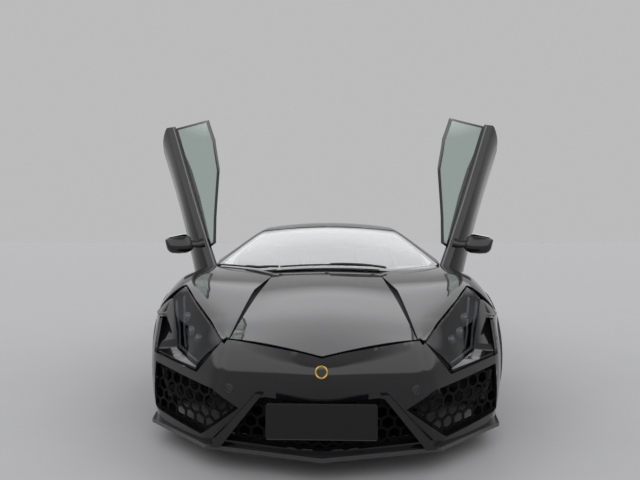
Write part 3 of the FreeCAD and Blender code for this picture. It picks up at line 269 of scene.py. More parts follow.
def lid(rows, inset):
    """A surface across the car between the two edges of a table; place(y, v) with v from -1 to 1."""
    def place(y, v):
        x, z, middle = (between(rows, y, column) for column in (2, 3, 4))
        return Vector(((x - inset) * v, y, middle - (middle - z) * abs(v) ** CROWN_POWER))
    return place


BELT_ROUNDS = (0, 0.05, 0.07, 0)
BELT_FULLS = (0.004, 0.010, 0.004)
FRONT_FACE_END = 0.8105
REAR_FACE_END = 0.1295


def belt_shell(rows, end, anchor, way):
    """A bumper surface; place(v, z) with v from -3 to 3 and whole numbers at the corners."""
    @functools.lru_cache(maxsize=None)
    def corners(z):
        middle, knee_x, knee, corner_x, corner, end_x = (between(rows, z, c) for c in range(1, 7))
        return [(0.0, middle), (knee_x, knee), (corner_x, corner), (end_x, end)]

    def place(v, z):
        side = 1 if v >= 0 else -1
        x, y = section_point(corners(round(z, 5)), BELT_ROUNDS, BELT_FULLS, abs(v))
        ease = 0.012 * max(0.0, 1 - abs(v) / 0.25) ** 2
        return Vector((side * x, anchor + way * (y + ease), z))
    return place


FRONT_FACE = belt_shell(BUMPER, FRONT_FACE_END, NOSE, 1)
REAR_FACE = belt_shell(TAIL_PIECE, REAR_FACE_END, TAIL, -1)


def face_depth(rows, x, z):
    """How far in from the nose or the tail a bumper's face lies at a place in front view."""
    middle, knee_x, knee, corner_x, corner = (between(rows, z, c) for c in range(1, 6))
    x = abs(x)
    if x <= knee_x:
        return middle + (knee - middle) * x / knee_x
    return knee + (corner - knee) * (x - knee_x) / (corner_x - knee_x)


@functools.lru_cache(maxsize=None)
def canopy_shape(y, depth):
    """Belt and cant corners, and the roof's crown and the radius of its arc, at a depth under the surface."""
    cant_x, cant_z, drop, belt_x, belt_z = (between(CANOPY, y, c) for c in range(2, 7))
    crown = ROOF - drop - depth
    dx, dz = cant_x - belt_x, cant_z - belt_z
    length = math.hypot(dx, dz)
    nx, nz = dz / length, -dx / length
    belt = (belt_x - nx * depth, belt_z - nz * depth)
    cant = (cant_x - nx * depth, cant_z - nz * depth)
    rise = max(crown - cant[1], 0.002)
    radius = (cant[0] ** 2 + rise ** 2) / (2 * rise)
    return belt, cant, crown, radius


def canopy(depth):
    """The glasshouse; place(y, v) with v from 0, the belt, over 1, the cant rail, to 2, the middle."""
    def place(y, v):
        (bx, bz), (cx, cz), crown, radius = canopy_shape(round(y, 5), depth)
        length = math.hypot(bx - cx, bz - cz)
        stop = 1 - CORNER_SHARE

        def on_arc(share):
            angle = math.asin(min(cx / radius, 1.0)) * (cx - CANT_ROUND) / cx * share
            return radius * math.sin(angle), crown - radius * (1 - math.cos(angle))

        if v <= stop:
            t = v / stop * (1 - CANT_ROUND / length)
            x, z = bx + (cx - bx) * t, bz + (cz - bz) * t
        elif v >= 1 + CORNER_SHARE:
            x, z = on_arc((2 - v) / stop)
        else:
            t = 0.5 * (v - stop) / CORNER_SHARE if v <= 1 else 0.5 + 0.5 * (v - 1) / CORNER_SHARE
            start = (cx + (bx - cx) * CANT_ROUND / length, cz + (bz - cz) * CANT_ROUND / length)
            x, z = rounded(start, (cx, cz), on_arc(1), t)
        return Vector((x, y, z))
    return place


def wide_canopy(depth):
    """The glasshouse from the left belt, v 0, to the right one, v 4."""
    half = canopy(depth)

    def place(y, v):
        point = half(y, min(v, 4 - v))
        return point if v <= 2 else Vector((-point.x, point.y, point.z))
    return place


# Trims: signed distances, positive where the panel stays
def edge_distance(points, a, b):
    """Distance to a closed outline, positive inside."""
    best = 1e9
    within = False
    for i, (px, py) in enumerate(points):
        qx, qy = points[i - 1]
        ex, ey = qx - px, qy - py
        t = max(0.0, min(1.0, ((a - px) * ex + (b - py) * ey) / (ex * ex + ey * ey)))
        best = min(best, math.hypot(a - px - ex * t, b - py - ey * t))
        if (py > b) != (qy > b) and a < px + ex * (b - py) / ey:
            within = not within
    return best if within else -best


VIEW_AXES = {"side": (1, 2, 0), "front": (0, 2, 1), "plan": (0, 1, 2)}


def inside(view, points, sign=1):
    """Keeps what lies inside an outline in side, front or plan view, or outside it with the sign -1."""
    first, second, _ = VIEW_AXES[view]
    return lambda p: sign * edge_distance(points, p[first], p[second])


def cut(view, *outlines):
    """Keeps what lies outside each outline."""
    return [inside(view, points, -1) for points in outlines]


def off_wheel(axle, radius):
    """Keeps what lies outside a wheel arch."""
    return lambda p: math.hypot(p.y - axle, p.z - radius) - (radius + ARCH_CLEARANCE)


def both_sides(*outlines):
    """Outlines in front view, each followed by its mirror image."""
    return [half for points in outlines for half in (points, [(-a, b) for a, b in points])]


def symmetric(points):
    return list(points) + [(-a, b) for a, b in reversed(points) if abs(a) > 1e-6]


def grown(points, distance):
    """A closed outline made larger on every side."""
    count = len(points)
    area = sum(points[i - 1][0] * points[i][1] - points[i][0] * points[i - 1][1] for i in range(count))
    way = 1 if area > 0 else -1
    moved = []
    for i, (a, b) in enumerate(points):
        before, after = points[i - 1], points[(i + 1) % count]
        normals = []
        for (px, py), (qx, qy) in ((before, (a, b)), ((a, b), after)):
            du, dv = qx - px, qy - py
            length = math.hypot(du, dv)
            normals.append((dv / length, -du / length))
        nu, nv = normals[0][0] + normals[1][0], normals[0][1] + normals[1][1]
        scale = 2 / (nu * nu + nv * nv)
        moved.append((a + nu * scale * distance * way, b + nv * scale * distance * way))
    return moved


def steps(low, high, pitch):
    count = max(2, round(abs(high - low) / pitch))
    return [low + (high - low) * i / count for i in range(count + 1)]


def spread(corner_count, per_run):
    """Values of v along a section, the same number for each of its runs."""
    return [k + i / per_run for k in range(corner_count) for i in range(per_run)] + [float(corner_count)]


def circle(count, phase=0.0):
    """Cosines and sines round a full turn."""
    angles = [math.tau * (k + phase) / count for k in range(count)]
    return [(math.cos(angle), math.sin(angle)) for angle in angles]


def band(count, a, b):
    """Faces between two closed rings of vertices, whose first numbers are a and b."""
    return [[a + i, a + (i + 1) % count, b + (i + 1) % count, b + i] for i in range(count)]


# Panels
TRIM_PROBE = 0.05
TRIM_REACH = 0.56
TRIM_LEFT = 0.2
SLIDE_ROUNDS = 4
ON_LINE = 2e-5
TINY = 1e-12
NORMAL_STEP = 1e-4
POINT_SLACK = 0.0006
FACE_SLACK = 0.0004
PANEL_WALL = 0.010
BUMPER_WALL = 0.014
LID_WALL = 0.018


def numeric_normal(place, u, v, du, dv):
    along = place(u + du, v) - place(u - du, v)
    over = place(u, v + dv) - place(u, v - dv)
    normal = along.cross(over)
    return normal.normalized() if normal.length > TINY else Vector((0, 0, 1))


def slid(place, trim, start, value, du, dv, us, vs):
    """Parameters moved along a surface towards a trim line, and the distance to the line that is left."""
    u, v = start
    for _ in range(SLIDE_ROUNDS):
        fu = (trim(place(u + du * TRIM_PROBE, v)) - value) / TRIM_PROBE
        fv = (trim(place(u, v + dv * TRIM_PROBE)) - value) / TRIM_PROBE
        steep = fu * fu + fv * fv
        if steep < TINY:
            break
        u = min(max(u - du * fu * value / steep, us[0]), us[-1])
        v = min(max(v - dv * fv * value / steep, vs[0]), vs[-1])
        value = trim(place(u, v))
        if abs(value) < ON_LINE:
            break
    return u, v, value


def trimmed_panel(place, us, vs, trims=(), wall=0.003, inner=None, flip=False):
    """Vertices and faces of a panel on a surface, trimmed by signed distances and given a thickness.

    Grid points near a trim line are moved onto it along the surface. Faces are listed as outer, inner, rim.
    """
    nu, nv = len(us), len(vs)
    params = [(u, v) for u in us for v in vs]
    points = [place(u, v) for u, v in params]
    for trim in trims:
        for n in range(nu * nv):
            i, j = divmod(n, nv)
            a = points[n + nv if i + 1 < nu else n - nv]
            b = points[n + 1 if j + 1 < nv else n - 1]
            reach = TRIM_REACH * max((a - points[n]).length, (b - points[n]).length)
            value = trim(points[n])
            if abs(value) < reach:
                du = us[min(i + 1, nu - 1)] - us[max(i - 1, 0)]
                dv = vs[min(j + 1, nv - 1)] - vs[max(j - 1, 0)]
                u, v, value = slid(place, trim, params[n], value, du, dv, us, vs)
                if abs(value) < reach * TRIM_LEFT:
                    params[n] = (u, v)
                    points[n] = place(u, v)
    kept = [all(trim(point) > -POINT_SLACK for trim in trims) for point in points]
    outer = []
    for n in (i * nv + j for i in range(nu - 1) for j in range(nv - 1)):
        ring = [m for m in (n, n + nv, n + nv + 1, n + 1) if kept[m]]
        if len(ring) >= 3:
            centre = sum((points[m] for m in ring), Vector()) / len(ring)
            if all(trim(centre) > -FACE_SLACK for trim in trims):
                outer.append(ring)
    used = sorted({n for ring in outer for n in ring})
    index = {n: k for k, n in enumerate(used)}
    du, dv = (us[-1] - us[0]) * NORMAL_STEP, (vs[-1] - vs[0]) * NORMAL_STEP
    under = []
    for n in used:
        if inner:
            under.append(inner(points[n]))
        else:
            thick = wall(points[n]) if callable(wall) else wall
            normal = numeric_normal(place, *params[n], du, dv)
            under.append(points[n] - normal * thick * (-1 if flip else 1))
    outer = [[index[n] for n in ring][::-1 if flip else 1] for ring in outer]
    edges = dict.fromkeys(edge for ring in outer for edge in zip(ring, ring[1:] + ring[:1]))
    count = len(used)
    rim = [[b, a, a + count, b + count] for a, b in edges if (b, a) not in edges]
    inside_faces = [[n + count for n in ring[::-1]] for ring in outer]
    return [points[n] for n in used] + under, outer, inside_faces, rim


def new_object(name, vertices, faces, materials, indices=None, smooth=True):
    mesh = bpy.data.meshes.new(name)
    mesh.from_pydata([tuple(v) for v in vertices], [], faces)
    for made_of in materials:
        mesh.materials.append(made_of)
    if indices:
        mesh.polygons.foreach_set("material_index", indices)
    mesh.polygons.foreach_set("use_smooth", [smooth] * len(mesh.polygons))
    mesh.update()
    made = bpy.data.objects.new(name, mesh)
    bpy.context.scene.collection.objects.link(made)
    return made


def soften(piece, width, segments=2, angle=38):
    bevel = piece.modifiers.new("edges", "BEVEL")
    bevel.width = width
    bevel.segments = segments
    bevel.limit_method = "ANGLE"
    bevel.angle_limit = math.radians(angle)
    bevel.harden_normals = True
    bevel.use_clamp_overlap = True


def sharp_by_angle(piece, degrees=32):
    piece.data.set_sharp_from_angle(angle=math.radians(degrees))


def finish_piece(piece, body, node, slot):
    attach(piece, body)
    if node:
        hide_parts(node)
    return piece


def door_turn(side):
    """The turn of a door from shut, in which all its pieces are modelled, to open."""
    joint = next(joint for joint in frame["joints"] if joint["name"] == "door_%s_hinge" % side)
    centre = Vector(joint["pos_m"])
    turn = Matrix.Rotation(-math.radians(joint["range_deg"][0]), 4, Vector(joint["axis"]))
    return Matrix.Translation(centre) @ turn @ Matrix.Translation(-centre)


DOOR_TURNS = {"door_" + side: door_turn(side) for side in ("left", "right")}


def placed(vertices, body, mirror):
    """A left piece's vertices where they belong: mirrored for the right, and turned with an open door."""
    way = -1 if mirror else 1
    vertices = [Vector((v[0] * way, v[1], v[2])) for v in vertices]
    return [DOOR_TURNS[body] @ v for v in vertices] if body in DOOR_TURNS else vertices


def panel(name, body, shape, node=None, slot="body_paint", looks=None, mirror=False, bevel=0.0018):
    """One panel from trimmed_panel's result, on either side; looks are its outer and inner materials."""
    vertices, outer, inside_faces, rim = shape
    faces = outer + inside_faces + rim
    if mirror:
        faces = [ring[::-1] for ring in faces]
    indices = [0] * len(outer) + [1] * len(inside_faces) + [0] * len(rim)
    piece = new_object(name, placed(vertices, body, mirror), faces, looks or (paint, inner_black), indices)
    if bevel:
        soften(piece, bevel)
    return finish_piece(piece, body, node, slot)


def solid(name, body, shape, made_of, node=None, slot=None, bevel=0.0015, mirror=False, segments=2, sharp=34):
    """One closed piece from a shape, on the left or mirrored to the right."""
    vertices, faces = shape
    piece = new_object(name, placed(vertices, body, mirror), faces, [made_of])
    turned = bmesh.new()
    turned.from_mesh(piece.data)
    bmesh.ops.recalc_face_normals(turned, faces=turned.faces)
    turned.to_mesh(piece.data)
    turned.free()
    if bevel:
        soften(piece, bevel, segments, sharp)
    else:
        sharp_by_angle(piece, sharp)
    return finish_piece(piece, body, node, slot)


def sided(text, side):
    """A name that ends in _ gets the side."""
    return text + side if text and text.endswith("_") else text


def pair(make, name, body, *rest, node=None, **more):
    """A piece on the left and its mirror image on the right."""
    for side, mirror in (("left", False), ("right", True)):
        make(sided(name, side), sided(body, side), *rest, node=sided(node, side), mirror=mirror, **more)


# Solids of rings and prisms
def lofted(rings):
    """Vertices and faces through closed rings of equal count, capped at both ends."""
    count = len(rings[0])
    vertices = [Vector(point) for ring in rings for point in ring]
    faces = []
    for k in range(len(rings) - 1):
        faces += band(count, k * count, (k + 1) * count)
    faces.append(list(range(count))[::-1])
    faces.append([(len(rings) - 1) * count + i for i in range(count)])
    return vertices, faces


def prism(points, view, low, high):
    """A prism from an outline in side (y, z), front (x, z) or plan (x, y) view."""
    def point(*values):
        return [value for _, value in sorted(zip(VIEW_AXES[view], values))]
    return lofted([[point(a, b, place) for a, b in points] for place in (low, high)])


def section(x, y, z, points):
    """A ring in a plane across the car, of places beside a point."""
    return [(x + dx, y, z + dz) for dx, dz in points]


def turned_shape(profile, centre, segments=96, ripple=None):
    """A full turn of (x, radius) points, a closed outline, about an axis along X through centre."""
    cx, cy, cz = centre
    count = len(profile)
    vertices, faces = [], []
    for k, (c, s) in enumerate(circle(segments)):
        for x, r in profile:
            r -= ripple(k, x, r) if ripple else 0
            vertices.append(Vector((cx + x, cy + r * c, cz + r * s)))
        faces += band(count, k * count, (k + 1) % segments * count)
    return vertices, faces


def round_part(centre, forward, profile, sides, phase=0.0):
    """Rings about an axis that points forward from centre, from (out, radius) points."""
    turn = Vector(forward).normalized().to_track_quat("Z", "Y")
    return lofted([[Vector(centre) + turn @ Vector((r * c, r * s, out)) for c, s in circle(sides, phase)]
                   for out, r in profile])


def pipe(path, radius, sides=10):
    """A round bar along a path of points."""
    path = [Vector(p) for p in path]
    rings = []
    for i, point in enumerate(path):
        ahead = path[min(i + 1, len(path) - 1)] - path[max(i - 1, 0)]
        turn = ahead.to_track_quat("Z", "Y")
        rings.append([point + turn @ Vector((radius * c, radius * s, 0)) for c, s in circle(sides)])
    return lofted(rings)


def joined(*shapes):
    vertices, faces = [], []
    for more, rings in shapes:
        faces += [[n + len(vertices) for n in ring] for ring in rings]
        vertices += more
    return vertices, faces


# Materials
def set_inputs(node, values):
    for socket, value in values.items():
        node.inputs[socket.replace("_", " ")].default_value = value


def material(name, colour, roughness=0.5, metallic=0.0, **values):
    made = bpy.data.materials.new(name)
    made.use_nodes = True
    shader = made.node_tree.nodes["Principled BSDF"]
    set_inputs(shader, {"Base_Color": (*colour, 1), "Roughness": roughness, "Metallic": metallic, **values})
    return made


def add_node(tree, kind, source, into, **values):
    """A shader node fed by another one's output, with some of its inputs set."""
    made = tree.nodes.new("ShaderNode" + kind)
    set_inputs(made, values)
    tree.links.new(source, made.inputs[into])
    return made


def coordinates(tree, output):
    return tree.nodes.new("ShaderNodeTexCoord").outputs[output]


def look(name, colour, scale, low, high, bump=0.0, detail=3.0, distance=0.001, colours=None, **values):
    """A material with a fine noise that varies its roughness, and may tint it and raise a grain."""
    made = material(name, colour, **values)
    tree = made.node_tree
    shader = tree.nodes["Principled BSDF"]
    noise = add_node(tree, "TexNoise", coordinates(tree, "Object"), "Vector", Scale=scale, Detail=detail)
    rough = add_node(tree, "MapRange", noise.outputs["Fac"], "Value", To_Min=low, To_Max=high)
    tree.links.new(rough.outputs["Result"], shader.inputs["Roughness"])
    if colours:
        ramp = add_node(tree, "ValToRGB", noise.outputs["Fac"], "Fac")
        for element, tint, position in zip(ramp.color_ramp.elements, colours, (0.35, 0.65)):
            element.color = (*tint, 1)
            element.position = position
        tree.links.new(ramp.outputs["Color"], shader.inputs["Base Color"])
    if bump:
        raised = add_node(tree, "Bump", noise.outputs["Fac"], "Height", Strength=bump, Distance=distance)
        tree.links.new(raised.outputs["Normal"], shader.inputs["Normal"])
    return made


paint = look("gloss black paint", (0.006, 0.006, 0.007), 900, 0.25, 0.35,
             colours=((0.004, 0.004, 0.005), (0.008, 0.008, 0.009)),
             Coat_Weight=1.0, Coat_Roughness=0.012, Coat_IOR=1.48, Specular_IOR_Level=0.05)
mesh_black = look("grille mesh", (0.004, 0.004, 0.004), 300, 0.55, 0.7, Specular_IOR_Level=0.08)
inner_black = look("panel inside", (0.011, 0.011, 0.011), 60, 0.55, 0.75, 0.1)
trim_black = look("moulded trim", (0.022, 0.022, 0.024), 420, 0.42, 0.6, 0.12, distance=0.0004,
                  colours=((0.016, 0.016, 0.017), (0.028, 0.028, 0.030)))
piano = look("piano black", (0.008, 0.008, 0.009), 300, 0.1, 0.16, Coat_Weight=1.0, Coat_Roughness=0.02)
rubber = look("tyre rubber", (0.025, 0.025, 0.026), 300, 0.62, 0.82, 0.2, distance=0.0004,
              colours=((0.018, 0.018, 0.018), (0.034, 0.034, 0.035)))
alloy = look("cast alloy", (0.42, 0.42, 0.44), 160, 0.32, 0.5, 0.1, distance=0.0004, metallic=1.0)
rim_metal = look("rim metal", (0.035, 0.035, 0.038), 500, 0.25, 0.36, metallic=0.6, Coat_Weight=0.7,
                 Coat_Roughness=0.08)
disc_metal = look("brake disc", (0.26, 0.26, 0.27), 240, 0.3, 0.48, 0.15, distance=0.0003, metallic=0.9)
leather = look("black leather", (0.028, 0.027, 0.027), 520, 0.42, 0.6, 0.35, 6.0, 0.0006,
               ((0.020, 0.019, 0.019), (0.038, 0.037, 0.037)))
pipe_metal = look("pipe steel", (0.30, 0.28, 0.26), 90, 0.18, 0.4, metallic=1.0,
                  colours=((0.22, 0.20, 0.19), (0.38, 0.35, 0.32)))
plate_black = look("blank plate", (0.008, 0.008, 0.008), 200, 0.2, 0.3, Specular_IOR_Level=0.3)
gold = look("satin gold", (0.65, 0.40, 0.08), 200, 0.25, 0.4, metallic=1.0)
strip_white = look("light guide", (0.75, 0.77, 0.80), 80, 0.25, 0.4, Coat_Weight=0.6, Coat_Roughness=0.05)
satin = look("satin strip", (0.16, 0.16, 0.165), 120, 0.35, 0.5, metallic=0.8)
chrome = look("lamp chrome", (0.55, 0.56, 0.58), 60, 0.08, 0.2, metallic=1.0)


def carbon_weave():
    """Carbon fibre: fine checks of two blacks under a clear coat."""
    made = material("carbon twill", (0.012, 0.012, 0.013), Coat_Weight=0.9, Coat_Roughness=0.04)
    tree = made.node_tree
    shader = tree.nodes["Principled BSDF"]
    check = add_node(tree, "TexChecker", coordinates(tree, "Object"), "Vector", Scale=260,
                     Color1=(0.006, 0.006, 0.007, 1), Color2=(0.030, 0.030, 0.033, 1))
    tree.links.new(check.outputs["Color"], shader.inputs["Base Color"])
    rough = add_node(tree, "MapRange", check.outputs["Fac"], "Value", To_Min=0.25, To_Max=0.42)
    tree.links.new(rough.outputs["Result"], shader.inputs["Roughness"])
    return made


carbon = carbon_weave()
GLASS = {"Transmission_Weight": 1.0, "IOR": 1.46, "Coat_Weight": 1.0, "Coat_Roughness": 0.0}
window_glass = material("tinted window", (0.52, 0.62, 0.57), 0.0, **GLASS)
screen_glass = material("windscreen glass", (0.50, 0.55, 0.53), 0.0, Coat_IOR=1.6, **GLASS)
lens_glass = material("lamp lens", (0.34, 0.35, 0.37), 0.0, Transmission_Weight=1.0, IOR=1.28)
tail_red = look("tail lamp lens", (0.30, 0.008, 0.010), 120, 0.05, 0.12, roughness=0.08, Coat_Weight=1.0,
                Coat_Roughness=0.03)
tail_glow = look("tail light guide", (0.75, 0.04, 0.03), 120, 0.2, 0.3, roughness=0.25, Coat_Weight=0.6)
mirror_glass = look("mirror glass", (0.75, 0.77, 0.80), 4, 0.01, 0.03, metallic=1.0)

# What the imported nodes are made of, by their names without a side; the others are painted
NODE_LOOKS = {label: made_of for made_of, labels in (
    (trim_black, "tub side_intakes front_liner rear_liner"),
    (mesh_black, "undertray front_grilles rear_grilles"),
    (carbon, "front_splitter rear_diffuser side_skirts"),
    (piano, "plate_holder"),
    (pipe_metal, "exhaust"),
    (alloy, "engine front_suspension rear_suspension front_knuckle"),
    (leather, "dashboard seat steering_wheel"),
    (window_glass, "rear_window door_glass"),
    (screen_glass, "windscreen"),
    (lens_glass, "headlamp"),
    (tail_red, "tail_lamps"),
    (rubber, "front_tyre rear_tyre"),
    (rim_metal, "front_rim rear_rim"),
) for label in labels.split()}
for label, node in frame["nodes"].items():
    node.data.materials.clear()
    node.data.materials.append(NODE_LOOKS.get(label.removesuffix("_left").removesuffix("_right"), paint))
    sharp_by_angle(node)

# Bonnet and cowl
FINE = 0.011
SEAM = 0.0005
BONNET_BACK = FRONT_AXLE + 0.084
BONNET_CORNER = NOSE + 0.262
COWL_BACK = FRONT_AXLE + 0.400


def bonnet_outline(grow):
    front, corner, back = NOSE + 0.078 - grow, BONNET_CORNER - grow, BONNET_BACK + grow
    return symmetric([(0, front), (0.432, corner), (0.600, corner), (0.600, back), (0, back)])


def make_lid(node, body, rows, inset, span, pitch, trims=(), wall=PANEL_WALL, slot="body_paint"):
    """A panel across the car between the edges of a table."""
    shape = trimmed_panel(lid(rows, inset), steps(*span, FINE), steps(-1, 1, pitch), trims, wall, flip=True)
    panel(node + "_skin", body, shape, node, slot)


def make_bonnet():
    make_lid("bonnet", "bonnet", BONNET, GAP, (NOSE + 0.070, BONNET_BACK), 0.032,
             [inside("plan", bonnet_outline(0))], LID_WALL)
    make_lid("cowl", "chassis", BONNET, SEAM, (BONNET_BACK + GAP, COWL_BACK), 0.04, slot="dark_trim")


# Front wings
LAMP_BACK = NOSE + 0.811
LAMP_LINE = [(0.447, NOSE + 0.240), (0.545, NOSE + 0.420), (0.680, NOSE + 0.623), (0.786, LAMP_BACK)]
LAMP_ROOM = LAMP_LINE + [(1.100, LAMP_BACK), (1.100, NOSE + 0.240)]
SLOT_WIDTH = 0.030
DOOR_FRONT = FRONT_AXLE + 0.476

# Outlines in side view: millimetres behind the front axle and up, and the ways in which each place moves
DOOR_SIDE = ((476, 960, -1, 0), (476, 790, -1, 0), (566, 300, -1, -1), (1600, 300, 1, -1), (1722, 580, 1, 0),
             (1792, 850, 1, 0), (1792, 960, 1, 0))
WINDOW_SIDE = ((652, 640, 1, 0), (652, 876, 1, -1), (830, 930, 1, -1), (1180, 1052, 0, -1),
               (1430, 1088, 0, -1), (1650, 1080, -1, -1), (1786, 862, -1, 0), (1786, 640, -1, 0))


def side_outline(rows, distance):
    return [(FRONT_AXLE + (y * MM + way_y * distance), z * MM + way_z * distance)
            for y, z, way_y, way_z in rows]


def slot_width(y):
    """How wide the slot beside the bonnet is: a slender wedge, widest towards its back."""
    t = (y - BONNET_CORNER) / (FRONT_AXLE + 0.040 - BONNET_CORNER)
    return SLOT_WIDTH * min(t / 0.66, (1 - t) / 0.34) if 0 < t < 1 else 0.0


def beside_slot(p):
    return p.x - between(BONNET, p.y, 2) - slot_width(p.y)


def make_wings():
    surface = flank(("lower", "waist", "crest", "slot"), (0, 0.045, 0.060, 0), (0.006, 0.012, 0.006))
    ahead, behind = DOOR_FRONT - GAP, FRONT_AXLE + 0.7
    behind_top = [(ahead, 0.700), (ahead, 1.0), (behind, 1.0), (behind, 0.700)]
    under = [(FRONT_AXLE, -0.1), (FRONT_AXLE, 0.300), (behind, 0.300), (behind, -0.1)]
    trims = [off_wheel(FRONT_AXLE, FRONT_RADIUS), *cut("plan", LAMP_ROOM),
             *cut("side", side_outline(DOOR_SIDE, GAP), behind_top, under), beside_slot]
    ys = steps(BONNET_CORNER, FRONT_AXLE + 0.560, FINE)
    shape = trimmed_panel(surface, ys, spread(3, 28), trims, PANEL_WALL)
    pair(panel, "wing_skin_", "chassis", shape, node="wing_")
    rings = []
    for y in steps(BONNET_CORNER + 0.01, FRONT_AXLE + 0.06, 0.05):
        wide = slot_width(y)
        x, z = body_point("slot", y)
        rings.append(section(x, y, z, ((-0.004, -0.030), (wide + 0.010, -0.030), (wide + 0.012, -0.012),
                                       (wide + 0.014, -0.036), (-0.004, -0.036))))
    pair(solid, "bonnet_slot_", "chassis", lofted(rings), trim_black, bevel=0)


# Doors
def make_doors():
    surface = flank(("lower", "waist", "crest"), (0, 0.045, 0), (0.006, 0.012), drop=(-0.006, -0.030))

    def inner(point):
        lower, crest = body_point("lower", point.y), body_point("crest", point.y)
        top, low = (crest[0] - 0.068, crest[1] - 0.002), (lower[0] - 0.095, lower[1] - 0.030)
        t = (point.z - low[1]) / (top[1] - low[1])
        return Vector((low[0] + (top[0] - low[0]) * t, point.y, point.z))

    shape = trimmed_panel(surface, steps(FRONT_AXLE + 0.470, FRONT_AXLE + 1.800, FINE), spread(2, 28),
                          [inside("side", side_outline(DOOR_SIDE, 0))], inner=inner)
    pair(panel, "door_skin_", "door_", shape, node="door_", looks=(paint, trim_black), bevel=0.003)


# Roof and its pillars
def windscreen_outline():
    half = [(0, FRONT_AXLE - 0.200)]
    for behind, pillar in ((0.100, 0.030), (0.460, 0.044), (0.830, 0.046), (1.160, 0.048)):
        y = FRONT_AXLE + behind
        half.append((between(CANOPY, y, 2) - pillar, y))
    return symmetric(half + [(0, FRONT_AXLE + 1.170)])


def height_over_body(p):
    """How far a place lies above the body's upper surface."""
    waist, crest = (body_point(line, p.y) for line in ("waist", "crest"))
    if p.y < FRONT_AXLE + 0.481:
        middle = between(BONNET, p.y, 4)
        slot = body_point("slot", p.y)
    else:
        middle = crest[1] - 0.008
        slot = (0.600, middle)
    profile = [waist, crest, slot, (0, middle)]
    x = abs(p.x)
    for (ax, az), (bx, bz) in zip(profile, profile[1:]):
        if bx <= x <= ax:
            return p.z - (az + (bz - az) * (ax - x) / (ax - bx))
    return p.z - waist[1]


def over_door(p):
    return height_over_body(p) - (0.009 if p.y > FRONT_AXLE + 0.468 else 0.002)


def roof_wall(p):
    return min(0.030, max(0.0025, (height_over_body(p) - 0.006) / 0.7))


def make_canopy():
    roof_back = behind_axle(((1778, 600), (1778, 866), (1778, 890), (1700, 1100), (1700, 1300), (2300, 1300),
                             (2300, 600)))
    hinge_room = behind_axle(((430, 600), (430, 844), (652, 884), (652, 600)))

    def off_hinge(p):
        return -edge_distance(hinge_room, p.y, p.z) if abs(p.x) > 0.812 else 0.1

    def cover_room(p):
        return max(FRONT_AXLE + 1.700 - p.y, abs(p.x) - 0.574)

    trims = [*cut("plan", windscreen_outline()), *cut("side", side_outline(WINDOW_SIDE, 0), roof_back),
             cover_room, off_hinge, over_door]
    ys = steps(FRONT_AXLE + 0.340, FRONT_AXLE + 1.900, FINE)
    panel("roof_skin", "chassis", trimmed_panel(wide_canopy(0), ys, spread(4, 26), trims, roof_wall), "roof")


# Quarters
QUARTER_BACK = TAIL - 0.130
INTAKE = behind_axle(((1850, 420), (1900, 790), (2140, 760), (2080, 470)))


def make_quarters():
    surface = flank(("lower", "waist", "crest", "deck"), (0, 0.045, 0.070, 0), (0.006, 0.014, 0.008))
    ahead = behind_axle(((1300, 200), (1562, 200), (1606, 300), (1728, 580), (1798, 850), (1798, 900),
                         (1700.5, 1100), (1700.5, 1300), (1300, 1300)))
    trims = [off_wheel(REAR_AXLE, REAR_RADIUS), *cut("side", ahead, INTAKE)]
    ys = steps(REAR_AXLE - 1.200, QUARTER_BACK, FINE)
    shape = trimmed_panel(surface, ys, spread(3, 30), trims, PANEL_WALL)
    pair(panel, "quarter_skin_", "chassis", shape, node="quarter_")


# Engine cover with six slots, and the deck behind it
COVER_FRONT = FRONT_AXLE + 1.706
COVER_BACK = REAR_AXLE + 0.380


def make_deck():
    slots = []
    for k in range(6):
        y = REAR_AXLE - 0.760 + 0.150 * k
        half = between(DECK, y, 2) - 0.130
        slots.append(symmetric([(0, y - 0.060), (half, y + 0.020), (half, y + 0.066), (0, y + 0.004)]))
    make_lid("engine_cover", "engine_cover", DECK, GAP, (COVER_FRONT, COVER_BACK), 0.026, cut("plan", *slots),
             LID_WALL)
    make_lid("rear_deck", "chassis", DECK, SEAM, (COVER_BACK + GAP, TAIL - 0.056), 0.03)


# Bumpers, with outlines in front view
SIDE_INTAKE = metres(((478, 362), (838, 398), (850, 172), (540, 142), (352, 292)))
MIDDLE_INTAKE = symmetric(metres(((0, 338), (236, 352), (300, 330), (478, 140), (0, 132))))
LAMP_OPENING = metres(((566, 408), (862, 437), (872, 720), (872, 900), (440, 900), (440, 562)))
TAIL_LAMP = metres(((420, 800), (820, 812), (840, 700), (560, 730), (430, 752)))
TAIL_MESH = metres(((300, 690), (540, 676), (800, 640), (800, 520), (300, 470)))
HEX = symmetric(metres(((0, 800), (190, 790), (262, 710), (200, 620), (0, 612))))


def make_bumper(node, surface, low, high, trims, flip):
    half = spread(3, 34)
    values = [-v for v in half[:0:-1]] + half
    shape = trimmed_panel(surface, values, steps(low, high, FINE), trims, BUMPER_WALL, flip=flip)
    panel(node + "_skin", "chassis", shape, node, bevel=0.0025)


def make_front_bumper():
    under_bonnet = inside("plan", bonnet_outline(GAP), -1)
    trims = [lambda p: max(under_bonnet(p), 0.480 - p.z),
             *cut("front", *both_sides(SIDE_INTAKE, LAMP_OPENING), MIDDLE_INTAKE),
             off_wheel(FRONT_AXLE, FRONT_RADIUS)]
    make_bumper("front_bumper", FRONT_FACE, 0.115, 0.600, trims, False)


def make_rear_bumper():
    trims = cut("front", *both_sides(TAIL_LAMP, TAIL_MESH), HEX)
    make_bumper("rear_bumper", REAR_FACE, 0.400, 0.926, trims, True)


# Headlamps: a shelf along the lower edge, a forked light guide and round projectors behind a dark lens
# The shelf: behind the nose, reach up the lamp, depth, in millimetres
SHELF = metres(((272, 8, 2), (360, 34, 18), (440, 62, 42), (530, 86, 66), (600, 74, 56), (700, 44, 30),
                (790, 18, 6), (806, 10, 3)))


